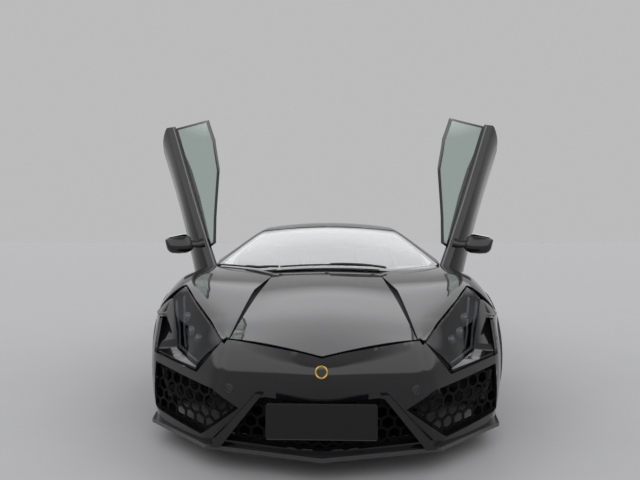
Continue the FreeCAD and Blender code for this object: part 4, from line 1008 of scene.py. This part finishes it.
def along_rows(rows, at):
    """A table's second and third columns at a place in its first one, along straight lines."""
    k = max(i for i in range(len(rows) - 1) if rows[i][0] <= at or i == 0)
    a, b = rows[k], rows[k + 1]
    t = min(max((at - a[0]) / (b[0] - a[0]), 0), 1)
    return a[1] + (b[1] - a[1]) * t, a[2] + (b[2] - a[2]) * t


def lamp_line(behind, depth, v):
    """A place between the lamp's lower edge, v 0, and the wing's crest, v 1, at a depth under them."""
    x, z = along_rows(LAMP, behind)
    crest = body_point("crest", NOSE + behind)
    dx, dz = crest[0] + 0.006 - x, crest[1] - 0.013 - z
    length = math.hypot(dx, dz)
    return Vector((x + dx * v - dz / length * depth, NOSE + behind, z + dz * v + dx / length * depth))


def shelf_back(behind):
    """The shelf's back edge: so far up the lamp, and so deep."""
    up, deep = along_rows(SHELF, behind)
    x, z = along_rows(LAMP, behind)
    crest = body_point("crest", NOSE + behind)
    return lamp_line(behind, deep, up / math.hypot(crest[0] - x, crest[1] - z))


def lamp_place(depth):
    """The lens; place(behind, w) with w from 0, the shelf's back edge, to 1, the wing's crest."""
    def place(behind, w):
        low, top = shelf_back(behind), lamp_line(behind, 0.004, 0.985)
        run = top - low
        normal = Vector((run.z, 0, -run.x)).normalized()
        full = 0.006 * 4 * w * (1 - w)
        return low + run * w + normal * (full - depth)
    return place


def ribbon(line):
    """A flat strip behind the lens, from rows of behind, low w, high w."""
    place = lamp_place(0.008)
    rings = []
    for behind, low, high in line:
        a, b = place(behind, low), place(behind, high)
        deep = numeric_normal(place, behind, (low + high) / 2, 0.002, 0.01) * 0.006
        rings.append([a, b, b - deep, a - deep])
    return lofted(rings)


def make_headlamps():
    behinds = steps(0.272, 0.804, 0.012)
    lens = trimmed_panel(lamp_place(0.0), behinds, steps(0.0, 1.0, 0.05))
    bowl = trimmed_panel(lamp_place(0.040), behinds, steps(0.02, 0.96, 0.05), wall=0.004)
    shelf = []
    for behind in behinds:
        a, b = lamp_line(behind, 0.0, 0.0), shelf_back(behind)
        down = Vector((0, 0, 0.010)) if behind < 0.56 else Vector((-0.006, 0, 0.004))
        shelf.append([a, b, b - down, a - down])
    cheek = []
    for t in steps(0, 1, 0.1):
        low = FRONT_FACE(2.02 + 0.98 * t, 0.600)
        high = lamp_line(0.690 + 0.118 * t, -0.002, -0.02)
        bulge = Vector((0.006, -0.003, 0.004)) * math.sin(math.pi * t)
        deep = Vector((-0.012, 0.004, 0))
        cheek.append([low, (low + high) / 2 + bulge, high, high + deep, low + deep])
    guides = joined(
        ribbon(((0.310, 0.10, 0.15), (0.42, 0.07, 0.12), (0.53, 0.05, 0.11), (0.62, 0.05, 0.12),
                (0.70, 0.06, 0.15), (0.765, 0.10, 0.24))),
        ribbon(((0.47, 0.14, 0.17), (0.56, 0.28, 0.33), (0.66, 0.46, 0.53), (0.74, 0.62, 0.72))))
    projectors = []
    deep_place = lamp_place(0.026)
    for behind, w, radius in ((0.450, 0.50, 0.022), (0.540, 0.46, 0.026), (0.635, 0.44, 0.026)):
        forward = numeric_normal(deep_place, behind, w, 0.002, 0.01) + Vector((0, -1.2, 0.0))
        profile = [(out, share * radius) for out, share in (
            (-0.012, 1.0), (0.004, 1.0), (0.006, 0.86), (0.002, 0.82), (0.010, 0.6), (0.014, 0.25))]
        projectors.append(round_part(deep_place(behind, w), forward, profile, 28))
    pair(panel, "headlamp_lens_", "chassis", lens, node="headlamp_", slot="lamp_glass",
         looks=(lens_glass, lens_glass), bevel=0)
    pair(panel, "headlamp_bowl_", "chassis", bowl, slot=None, looks=(inner_black, inner_black), bevel=0)
    pair(solid, "headlamp_shelf_", "chassis", lofted(shelf), paint, slot="body_paint", bevel=0.0012)
    pair(solid, "headlamp_cheek_", "chassis", lofted(cheek), paint, slot="body_paint", bevel=0, sharp=50)
    pair(solid, "headlamp_guide_", "chassis", guides, strip_white, bevel=0.0008)
    pair(solid, "headlamp_projectors_", "chassis", joined(*projectors), chrome, bevel=0)


# Glass, with a black band along its edges
GLASS_DEPTH = 0.004
GLASS_THICK = 0.005
PANE_PITCH = 0.030
PANE_ROUNDS = 22
FOOT_ROUNDS = 14
SCREEN_ROUNDS = 18


def dense(points):
    """A closed outline with its long edges split."""
    more = []
    for i, (a, b) in enumerate(points):
        c, d = points[(i + 1) % len(points)]
        count = max(1, round(math.hypot(c - a, d - b) / PANE_PITCH))
        more += [(a + (c - a) * k / count, b + (d - b) * k / count) for k in range(count)]
    return more


def pane(outline, black, place):
    """A pane on a surface, from a closed outline in one view; place(a, b, lift) gives its places.

    Rings follow the outline and the black band's inner edge, and shrink to the middle. The band comes first.
    """
    middle = [sum(point[c] for point in outline) / len(outline) for c in (0, 1)]
    loops = [outline, grown(outline, -black)]
    for share in (0.85, 0.68, 0.50, 0.32, 0.16):
        loops.append([(middle[0] + (a - middle[0]) * share, middle[1] + (b - middle[1]) * share)
                      for a, b in loops[1]])
    count = len(outline)
    vertices = []
    for lift in (0.0, -GLASS_THICK):
        vertices += [place(a, b, lift) for loop in loops for a, b in loop] + [place(*middle, lift)]
    half = len(vertices) // 2
    band_faces, faces = [], []
    for k in range(len(loops) - 1):
        for ring in band(count, k * count, (k + 1) * count):
            (faces if k else band_faces).extend((ring, [n + half for n in ring[::-1]]))
    last = (len(loops) - 1) * count
    for i in range(count):
        j = (i + 1) % count
        ring = [last + i, last + j, half - 1]
        faces.extend((ring, [n + half for n in ring[::-1]]))
        band_faces.append([j, i, i + half, j + half])
    return vertices, band_faces, faces


def make_pane(name, body, shape, glass, node, mirror=False):
    vertices, band_faces, faces = shape
    piece = solid(name, body, (vertices, band_faces + faces), piano, node, "clear_glass", 0, mirror, sharp=60)
    piece.data.materials.append(glass)
    for number, face in enumerate(piece.data.polygons):
        face.material_index = 0 if number < len(band_faces) else 1


def halved(low, high, rounds, below):
    """The upper end of a range, halved again and again towards where below(value) stops."""
    for _ in range(rounds):
        middle = (low + high) / 2
        if below(middle):
            low = middle
        else:
            high = middle
    return high


def glass_at_x(y, x, depth=GLASS_DEPTH):
    """A place on the left half of the glasshouse at an x."""
    surface = canopy(depth)
    return surface(y, halved(0.0, 2.0, PANE_ROUNDS, lambda v: surface(y, v).x > x))


def foot_line(x):
    """Where the windscreen goes under the cowl and the wings."""
    return halved(FRONT_AXLE + 0.250, FRONT_AXLE + 0.700, FOOT_ROUNDS,
                  lambda y: height_over_body(glass_at_x(y, abs(x))) < -0.004)


def make_glass():
    pillar = [(between(CANOPY, FRONT_AXLE + behind, 2) - wide, FRONT_AXLE + behind) for behind, wide in (
        (0.470, 0.047), (0.56, 0.0435), (0.70, 0.0445), (0.830, 0.046), (1.000, 0.047), (1.155, 0.048))]
    foot = [(x, foot_line(x)) for x in (0.0, 0.1, 0.2, 0.3, 0.4, 0.5, 0.6, 0.68, 0.74)]
    foot = [point for point in foot if point[1] < pillar[0][1]]
    outline = dense(symmetric(foot + pillar + [(0.0, FRONT_AXLE + 1.166)]))

    def on_screen(x, y, lift):
        return Vector((x, y, glass_at_x(y, abs(x), GLASS_DEPTH - lift).z))

    make_pane("windscreen_glass", "chassis", pane(outline, 0.036, on_screen), screen_glass, "windscreen")
    outline = side_outline(WINDOW_SIDE, GAP)
    front, back = outline[0][0], outline[-1][0]
    low = [(y, between(SIDE, y, 3) - 0.010) for y in (back, (front + back) / 2, front)]
    surface = canopy(GLASS_DEPTH)

    def on_door(y, z, lift):
        across = halved(0.0, 2.0, PANE_ROUNDS, lambda v: surface(y, v).z < z)
        return Vector((surface(y, across).x + lift, y, z))

    shape = pane(dense(low + outline[1:-2]), 0.018, on_door)
    pair(make_pane, "door_window_", "door_", shape, window_glass, node="door_glass_")


def screen_point(x, y, lift):
    """A point over the windscreen at a place in plan."""
    surface = canopy(-lift)
    return Vector((x, y, surface(y, halved(1.0, 2.0, SCREEN_ROUNDS, lambda v: surface(y, v).x > abs(x))).z))


def make_sensor_pod():
    """The housing for sensors and inner mirror, under the top of the windscreen."""
    rings = []
    for behind, wide, deep in ((1.040, 0.055, 0.008), (1.075, 0.105, 0.020), (1.120, 0.150, 0.030),
                               (1.140, 0.160, 0.030)):
        y = FRONT_AXLE + behind
        rings.append(section(0, y, screen_point(0.0, y, -0.012).z,
                             ((-wide, 0), (wide, 0), (wide * 0.8, -deep), (-wide * 0.8, -deep))))
    top = FRONT_AXLE + 1.09
    stem = pipe([(0, top, screen_point(0, top, -0.030).z), (0, FRONT_AXLE + 1.10, 0.995)], 0.009)
    glass = prism(symmetric([(0.115, 0.945), (0.125, 0.960), (0.118, 0.995)]), "front",
                  FRONT_AXLE + 1.092, FRONT_AXLE + 1.112)
    solid("sensor_pod", "chassis", lofted(rings), trim_black, bevel=0.003)
    solid("inner_mirror", "chassis", joined(glass, stem), piano, bevel=0.004, segments=3)


# Nose details: blank plate, plain badge and two round sensors
BADGE_HEIGHT = 0.472


def make_nose_details():
    plate = symmetric([(0.218, 0.204), (0.224, 0.210), (0.224, 0.336), (0.218, 0.342)])
    solid("blank_plate", "chassis", prism(plate, "front", NOSE + 0.0105, NOSE + 0.0135), plate_black)
    centre = (0, NOSE + face_depth(BUMPER, 0, BADGE_HEIGHT), BADGE_HEIGHT)
    ring = ((-0.004, 0.026), (0.003, 0.026), (0.005, 0.023), (0.0035, 0.020), (-0.002, 0.020))
    disc = ((-0.004, 0.021), (0.0028, 0.021), (0.0032, 0.018), (0.0032, 0.004))
    for label, profile, made_of in (("ring", ring, gold), ("disc", disc, piano)):
        solid("badge_" + label, "chassis", round_part(centre, (0, -1, 0.34), profile, 40), made_of, bevel=0)
    sensor = round_part((0.392, NOSE + face_depth(BUMPER, 0.392, 0.378) + 0.004, 0.372), (0.35, -1, 0), (
        (-0.01, 0.020), (0.006, 0.020), (0.009, 0.017), (0.007, 0.015), (0.007, 0.003)), 28)
    pair(solid, "nose_sensor_", "chassis", sensor, trim_black, bevel=0)


def cowl_height(x, y):
    edge, z, middle = (between(BONNET, y, c) for c in (2, 3, 4))
    return middle - (middle - z) * min(abs(x) / edge, 1.0) ** CROWN_POWER


def make_wipers():
    for number, (outer, inner, pivot) in enumerate(((-0.775, -0.350, -0.330), (-0.320, 0.360, 0.400))):
        blade, arm = [], []
        middle = (outer + inner) / 2
        for t in steps(0, 1, 0.1):
            x = outer + (inner - outer) * t
            blade.append(screen_point(x, foot_line(x) + 0.016 + 0.012 * t, 0.012))
            x = middle + (pivot - middle) * t
            lift = 0.020 + 0.006 * math.sin(math.pi * t)
            arm.append(screen_point(x, foot_line(x) + 0.012 - 0.012 * t, lift))
        wiper = joined(pipe(blade, 0.006, 8), pipe(arm, 0.008, 8))
        solid("wiper_%d" % number, "chassis", wiper, trim_black, bevel=0)
    nozzles = []
    for x in (-0.300, 0.0, 0.300):
        y = BONNET_BACK + GAP + 0.022
        z = cowl_height(x, y)
        foot = ((-0.013, -0.010), (0.013, -0.010), (0.016, 0.012), (-0.016, 0.012))
        nozzles.append(lofted([[(x + a * grow, y + b * grow, z + lift) for a, b in foot]
                               for grow, lift in ((1.0, -0.004), (1.0, 0.003), (0.6, 0.008))]))
    solid("washer_nozzles", "chassis", joined(*nozzles), trim_black)


# Wheels
SHOULDER = 0.034


def tyre_profile(half, bead, radius):
    """A tyre's section: beads, full walls, rounded shoulders and four grooves round the tread."""
    middle = (radius + bead) / 2
    wall = [(half - 0.016, bead), (half - 0.006, bead + 0.012), (half - 0.002, middle - 0.01),
            (half, middle + 0.006), (half - 0.003, radius - 0.030), (half - 0.010, radius - 0.014),
            (half - 0.022, radius - 0.005)]
    flat = half - SHOULDER
    groove = ((0.006, 0), (0.005, 0.007), (-0.005, 0.007), (-0.006, 0))
    tread = [(flat * share + dx, radius - drop)
             for share in (0.72, 0.26, -0.26, -0.72) for dx, drop in groove]
    return [*wall, (flat, radius - 0.001), *tread, (-flat, radius - 0.001), *((-x, r) for x, r in wall[::-1]),
            (-half + 0.030, bead + 0.004), (0, bead + 0.012), (half - 0.030, bead + 0.004)]


def profile_at(x, rows):
    """(x, radius) points from millimetres beside a place along the axle, and from the axle."""
    return [(x + out * MM, r * MM) for out, r in rows]


def spokes_shape(middle, face, rim_radius):
    """Five twin spokes, from rows of radius, place and half width across in millimetres, out and depth."""
    cx, cy, cz = middle
    rows = ((0.060, 24, 17, -0.016, 0.030), (0.110, 34, 14, -0.012, 0.028), (0.170, 50, 13, -0.006, 0.026),
            (rim_radius - 0.040, 68, 14, -0.001, 0.026), (rim_radius - 0.015, 78, 18, 0.000, 0.030))
    spokes = []
    for c, s in circle(5):
        for way in (-1, 1):
            rings = []
            for r, place, wide, out, deep in rows:
                ring = []
                for dx, dw in ((0, -0.62), (0, 0.62), (-0.008, 1), (-deep, 0.8), (-deep, -0.8), (-0.008, -1)):
                    across = place * MM * way + wide * MM * dw
                    ring.append((cx + face + out + dx, cy + across * c - r * s, cz + across * s + r * c))
                rings.append(ring)
            spokes.append(lofted(rings))
    return joined(*spokes)


def make_wheels():
    for place, axle, radius, disc_radius in (("front", FRONT_AXLE, FRONT_RADIUS, 200),
                                             ("rear", REAR_AXLE, REAR_RADIUS, 195)):
        low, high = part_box(place + "_tyre_left")
        half = (high.x - low.x) / 2
        middle = ((low.x + high.x) / 2, axle, radius)
        rim_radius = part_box(place + "_rim_left")[1].z - radius - 0.005
        flat = half - SHOULDER

        def ripple(k, x, r, flat=flat, half=half, radius=radius):
            """How far the tread is cut in: blocks at the shoulders and fine cuts in the ribs."""
            if r > radius - 0.020 and flat * 0.76 < abs(x) < half - 0.006:
                return 0.006 if k % 4 == 0 else 0.0
            if r > radius - 0.002 and flat * 0.30 < abs(x) < flat * 0.70:
                return 0.004 if (k + (2 if x > 0 else 0)) % 5 == 0 else 0.0
            return 0.0

        outline = half - 0.014
        barrel = [(way * outline + dx * MM, rim_radius + dr * MM) for way, dx, dr in (
            (-1, 0, 5), (-1, 0, -4), (-1, 30, -22), (1, -40, -22), (1, -12, -16), (1, 0, -10), (1, 2, -2),
            (1, 0, 5), (1, -12, 5), (1, -16, -3), (1, -40, -10), (-1, 30, -10), (-1, 12, 5))]
        face = outline - 0.024
        hub = profile_at(face, ((-50, 30), (-50, 82), (-20, 82), (-10, 74), (-8, 50), (-12, 46), (-12, 30)))
        nut = profile_at(face, ((-30, 1), (-30, 40), (-2, 36), (1, 30), (1, 18), (-6, 16), (-6, 1)))
        disc_out = outline - 0.082
        edge, groove = disc_radius, disc_radius - 8
        disc = profile_at(disc_out, ((-34, 85), (-34, edge), (-22, edge), (-20, groove), (-14, groove),
                                     (-12, edge), (0, edge), (0, 85)))
        bell = profile_at(disc_out, ((-30, 30), (-30, 98), (6, 98), (22, 76), (22, 30)))
        # Dark discs laid on the brake disc's face: painted shade in place of drilled holes, which are not cut
        hole_shades = []
        for k, (c, s) in enumerate(circle(48)):
            r = (0.115, 0.140, 0.165, 0.184)[k % 4] * disc_radius / 200
            y, z = axle + r * c, radius + r * s
            hole_shades.append(lofted([[(middle[0] + disc_out + out, y + a * 0.0042, z + b * 0.0042)
                                  for a, b in circle(8)] for out in (-0.001, 0.0003)]))
        tyre = turned_shape(tyre_profile(half, rim_radius + 0.006, radius), middle, 240, ripple)
        rim = joined(turned_shape(barrel, middle, 120), turned_shape(hub, middle, 60))
        spokes = spokes_shape(middle, face, rim_radius)
        for label, shape, made_of, node, slot, bevel, sharp in (
                ("tyre", tyre, rubber, place + "_tyre_", "tyre", 0, 28),
                ("rim", rim, rim_metal, place + "_rim_", "rim", 0, 30),
                ("spokes", spokes, rim_metal, None, "rim", 0.0025, 34),
                ("nut", turned_shape(nut, middle, 12), alloy, None, None, 0.001, 34),
                ("disc", turned_shape(disc, middle), disc_metal, None, None, 0, 30),
                ("bell", turned_shape(bell, middle, 60), trim_black, None, None, 0, 30),
                # the dark discs are painted shade for the drilled holes
                ("disc_holes", joined(*hole_shades), trim_black, None, None, 0, 34)):
            pair(solid, "%s_%s_" % (label, place), "wheel_%s_" % place, shape, made_of, node=node, slot=slot,
                 bevel=bevel, sharp=sharp)


# Mirrors: a smooth pod on a slim stalk, with its glass facing back
def ovals(rows, count, front_power=1, back_power=1, height_power=1):
    """A loft of ovals, each from x, front, back, low and high; powers below 1 make them squarer."""
    base = FRONT_AXLE + 0.100
    rings = []
    for x, front, back, low, high in metres(rows):
        ring = []
        for c, s in circle(count):
            across = math.copysign(abs(c) ** (back_power if c > 0 else front_power), c)
            up = math.copysign(abs(s) ** height_power, s)
            ring.append((x, base + (front + back) / 2 + (back - front) / 2 * across,
                         (low + high) / 2 + (high - low) / 2 * up))
        rings.append(ring)
    return lofted(rings)


def make_mirrors():
    pod = ovals(((958, 566, 660, 826, 872), (975, 552, 668, 820, 890), (1010, 541, 671, 817, 905),
                 (1065, 548, 674, 821, 905), (1112, 562, 677, 828, 899), (1130, 580, 676, 836, 888),
                 (1138, 600, 672, 846, 876)), 28, 0.85, 0.5, 0.75)
    stalk = ovals(((866, 572, 650, 800, 838), (910, 574, 640, 806, 838), (962, 578, 636, 828, 856),
                   (985, 580, 640, 836, 866)), 16)
    outline = ((978, 838), (1108, 842), (1120, 852), (1118, 880), (1104, 890), (1000, 893), (982, 882),
               (974, 856))
    glass = [[(x * MM, FRONT_AXLE + 0.7745 + out + (x - 978) * 0.00002, z * MM) for x, z in outline]
             for out in (0.0, 0.0025)]
    pair(solid, "mirror_pod_", "door_", pod, paint, node="mirror_", slot="body_paint", bevel=0, sharp=50)
    pair(solid, "mirror_stalk_", "door_", stalk, paint, bevel=0, sharp=50)
    pair(solid, "mirror_glass_", "door_", lofted(glass), mirror_glass, bevel=0)


# Inside. Seats in millimetres: piece, from and to beside the seat's middle, rounding, outline in side view
TUB_FRONT = FRONT_AXLE + 0.400
SEAT = (
    ("cushion", 0, 168, 20, ((964, 235), (964, 322), (1004, 346), (1120, 332), (1424, 298), (1450, 240))),
    ("base", 0, 176, 8, ((972, 156), (966, 240), (1450, 244), (1474, 156))),
    ("thigh", 172, 246, 22, ((984, 230), (992, 392), (1030, 398), (1380, 384), (1420, 330), (1420, 230))),
    ("back", 0, 152, 24, ((1400, 330), (1470, 520), (1560, 740), (1602, 742), (1650, 740), (1590, 520),
                          (1540, 330))),
    ("back", 156, 240, 24, ((1400, 400), (1476, 560), (1546, 745), (1590, 764), (1640, 756), (1560, 380))),
    ("head", 0, 128, 26, ((1592, 752), (1612, 862), (1642, 922), (1690, 926), (1706, 860), (1664, 752))),
)


def make_seat(side, middle):
    for label, inner, outer, edge, outline in SEAT:
        spans = (("_near", -outer, -inner), ("_far", inner, outer)) if inner else (("", -outer, outer),)
        hard = label == "base"
        made_of, slot = (carbon, None) if hard else (leather, "leather")
        for where, low, high in spans:
            shape = prism(behind_axle(outline), "side", middle + low * MM, middle + high * MM)
            piece = solid("seat_%s%s_%s" % (label, where, side), "chassis", shape, made_of,
                          "seat_" + side, slot, edge * MM, segments=4)


def in_tub(points):
    """Places in side view from millimetres behind the tub's front and above the ground."""
    return [(TUB_FRONT + y * MM, z * MM) for y, z in points]


def make_cabin():
    make_seat("left", 0.370)
    make_seat("right", -0.370)
    dash = in_tub(((38, 570), (38, 738), (120, 758), (250, 748), (326, 728), (346, 662), (300, 604),
                   (200, 564)))
    solid("dash_top", "chassis", prism(dash, "side", -0.768, 0.768), leather, "dashboard", "leather", 0.014,
          segments=3)
    console = in_tub(((40, 157), (40, 600), (340, 640), (392, 560), (430, 440), (900, 402), (1428, 398),
                      (1428, 157)))
    solid("console", "chassis", prism(console, "side", -0.108, 0.108), leather, bevel=0.012, segments=3)
    screens = []
    for low, high, y_low, z_low, y_high, z_high in (
            (0.255, 0.485, 352, 672, 338, 752), (-0.086, 0.086, 354, 596, 340, 744),
            (-0.560, -0.300, 350, 690, 340, 735)):
        outline = in_tub(((y_low, z_low), (y_low + 9, z_low), (y_high + 9, z_high), (y_high, z_high)))
        screens.append(prism(outline, "side", low, high))
    solid("screens", "chassis", joined(*screens), piano, bevel=0.002)
    profile = ((-0.010, 0.040), (0.008, 0.040), (0.008, 0.032), (-0.004, 0.030), (-0.004, 0.004))
    vents = [round_part((x, TUB_FRONT + 0.336, 0.700), (0, 1, 0.3), profile, 6, 0.5)
             for x in (-0.68, -0.20, 0.20, 0.68)]
    solid("vents", "chassis", joined(*vents), trim_black, bevel=0.001)
    switches = []
    for k in range(4):
        y = TUB_FRONT + (0.50 + 0.045 * k)
        top = 0.444 - (0.07 + 0.045 * k) * 0.081
        outline = [(-0.03, y), (0.03, y), (0.026, y + 0.03), (-0.026, y + 0.03)]
        switches.append(prism(outline, "plan", top - 0.004, top + 0.006))
    solid("console_switches", "chassis", joined(*switches), chrome, bevel=0.002)


# Door card: behind the front axle, reach in from the crest, depth of its lower part
DOOR_CARD = metres(((700, 71, 20), (800, 78, 40), (920, 86, 60), (1120, 98, 84), (1380, 98, 84),
                    (1520, 82, 66), (1640, 71, 34)))


def make_door_inners():
    card, strip = [], []
    for behind, reach, deep in DOOR_CARD:
        y = FRONT_AXLE + behind
        x, z = body_point("crest", y)
        card.append(section(x, y, z, ((-0.066, -0.004), (-reach, -0.010), (-reach - 0.006, -0.030),
                                      (-reach + 0.004, -0.04 - deep), (-0.066, -0.05 - deep))))
    rest = prism(behind_axle(((760, 520), (790, 560), (1380, 556), (1420, 520), (1360, 488), (800, 488))),
                 "side", 0.806, 0.868)
    pull = pipe([(x, FRONT_AXLE + y, z) for x, y, z in (
        (0.826, 0.900, 0.600), (0.800, 0.915, 0.615), (0.796, 1.000, 0.626), (0.800, 1.085, 0.622),
        (0.826, 1.100, 0.610))], 0.009)
    speaker = lofted([[(0.832 + out, FRONT_AXLE + 0.740 + r * c, 0.400 + r * s) for c, s in circle(36)]
                      for out, r in ((0.000, 0.070), (-0.007, 0.070), (-0.009, 0.064), (-0.006, 0.060),
                                     (-0.006, 0.005))])
    for y in steps(FRONT_AXLE + 0.480, FRONT_AXLE + 1.786, 0.05):
        x, z = body_point("crest", y)
        strip.append(section(x - 0.056, y, z + 0.0005, ((0, 0), (0.014, 0), (0.012, 0.004), (0.002, 0.004))))
    pair(solid, "door_card_", "door_", lofted(card), leather, bevel=0.006, segments=3)
    pair(solid, "armrest_", "door_", rest, leather, bevel=0.012, segments=3)
    pair(solid, "door_pull_", "door_", pull, chrome, bevel=0)
    pair(solid, "door_speaker_", "door_", speaker, trim_black, bevel=0)
    pair(solid, "belt_strip_", "door_", lofted(strip), satin, bevel=0)


# Tail: lamps with light guides, two six-sided pipe tips and a dark sheet behind the grilles, painted shade in
# place of the dark space behind them
PIPE_HEIGHT = 0.706


def tail_point(x, z, ahead, up=0.0):
    return (x, TAIL - face_depth(TAIL_PIECE, x, z) - ahead, z + up)


def pipe_tip(x):
    """A six-sided tube about an axis along the car."""
    rings = ((0.064, TAIL - 0.050), (0.064, TAIL - 0.004), (0.057, TAIL - 0.004), (0.057, TAIL - 0.050))
    vertices = [Vector((x + c * r, y, PIPE_HEIGHT + s * r)) for r, y in rings for c, s in circle(6)]
    faces = []
    for a in range(4):
        faces += band(6, a * 6, (a + 1) % 4 * 6)
    return vertices, faces


def make_tail():
    outline = grown(TAIL_LAMP, -0.002)
    lens = lofted([[tail_point(x, z, ahead) for x, z in outline] for ahead in (0.012, 0.004)])
    guides = []
    for line in (((0.450, 0.772), (0.560, 0.762), (0.640, 0.770), (0.815, 0.798)),
                 ((0.640, 0.766), (0.720, 0.740), (0.820, 0.716)),
                 ((0.450, 0.766), (0.560, 0.748))):
        corners = ((0.003, -0.005), (0.003, 0.005), (-0.002, 0.005), (-0.002, -0.005))
        guides.append(lofted([[tail_point(x, z, ahead, up) for ahead, up in corners] for x, z in line]))
    pair(solid, "tail_lens_", "chassis", lens, tail_red, node="tail_lamps", slot="tail_glass", bevel=0)
    pair(solid, "tail_guide_", "chassis", joined(*guides), tail_glow, bevel=0.001)
    # A flat dark sheet behind the grille meshes: painted shade, so the floor doesn't show through where the
    # car's shaded insides lie
    shade_sheet = symmetric([(0, 0.700), (0.790, 0.700), (0.800, 0.640), (0.800, 0.500), (0.300, 0.455),
                         (0, 0.455)])
    solid("tail_shade_sheet", "chassis", prism(shade_sheet, "front", TAIL - 0.150, TAIL - 0.142), mesh_black, bevel=0)
    solid("pipe_tips", "chassis", joined(pipe_tip(-0.096), pipe_tip(0.096)), pipe_metal, bevel=0.0012)


for make_part in (make_bonnet, make_wings, make_headlamps, make_glass, make_nose_details, make_wipers,
                  make_sensor_pod, make_wheels, make_mirrors, make_cabin, make_door_inners, make_tail,
                  make_doors, make_canopy, make_quarters, make_deck, make_front_bumper, make_rear_bumper):
    make_part()

# Studio
FOCAL_PIXELS = 490.0
PHOTO_WIDTH = 640
SENSOR = 36.0
FLOOR_HALF = 200
WALL = (0.50, 0.50, 0.505)
CEILING = (1.60, 1.60, 1.63)
ZENITH = (0.45, 0.45, 0.455)


def make_camera():
    data = bpy.data.cameras.new("camera")
    data.sensor_width = SENSOR
    data.lens = FOCAL_PIXELS / PHOTO_WIDTH * SENSOR
    camera = bpy.data.objects.new("camera", data)
    camera.location = (0.054, -4.415, 1.000)
    camera.rotation_euler = (math.radians(90), 0, math.radians(1.75))
    bpy.context.scene.collection.objects.link(camera)
    bpy.context.scene.camera = camera


def make_studio():
    """A pale floor, pale walls all round, and a ring of white light from about thirty degrees up."""
    pale = look("pale floor", (0.41, 0.41, 0.415), 3, 0.55, 0.65, Specular_IOR_Level=0.2,
                colours=((0.405, 0.405, 0.41), (0.415, 0.415, 0.42)))
    corners = [(x * FLOOR_HALF, y * FLOOR_HALF, 0) for x, y in ((-1, -1), (1, -1), (1, 1), (-1, 1))]
    floor = new_object("floor", corners, [[0, 1, 2, 3]], [pale], smooth=False)
    world = bpy.data.worlds.new("studio")
    world.use_nodes = True
    bpy.context.scene.world = world
    tree = world.node_tree
    split = add_node(tree, "SeparateXYZ", coordinates(tree, "Generated"), "Vector")
    ramp = add_node(tree, "ValToRGB", split.outputs["Z"], "Fac")
    elements = ramp.color_ramp.elements
    elements[0].position = 0.44
    elements[0].color = (*WALL, 1)
    elements[1].position = 0.52
    elements[1].color = (*CEILING, 1)
    elements.new(0.88).color = (*CEILING, 1)
    elements.new(0.93).color = (*ZENITH, 1)
    tree.links.new(ramp.outputs["Color"], tree.nodes["Background"].inputs["Color"])
    bpy.context.scene.view_settings.view_transform = "Standard"


make_camera()
make_studio()
save_bounds()
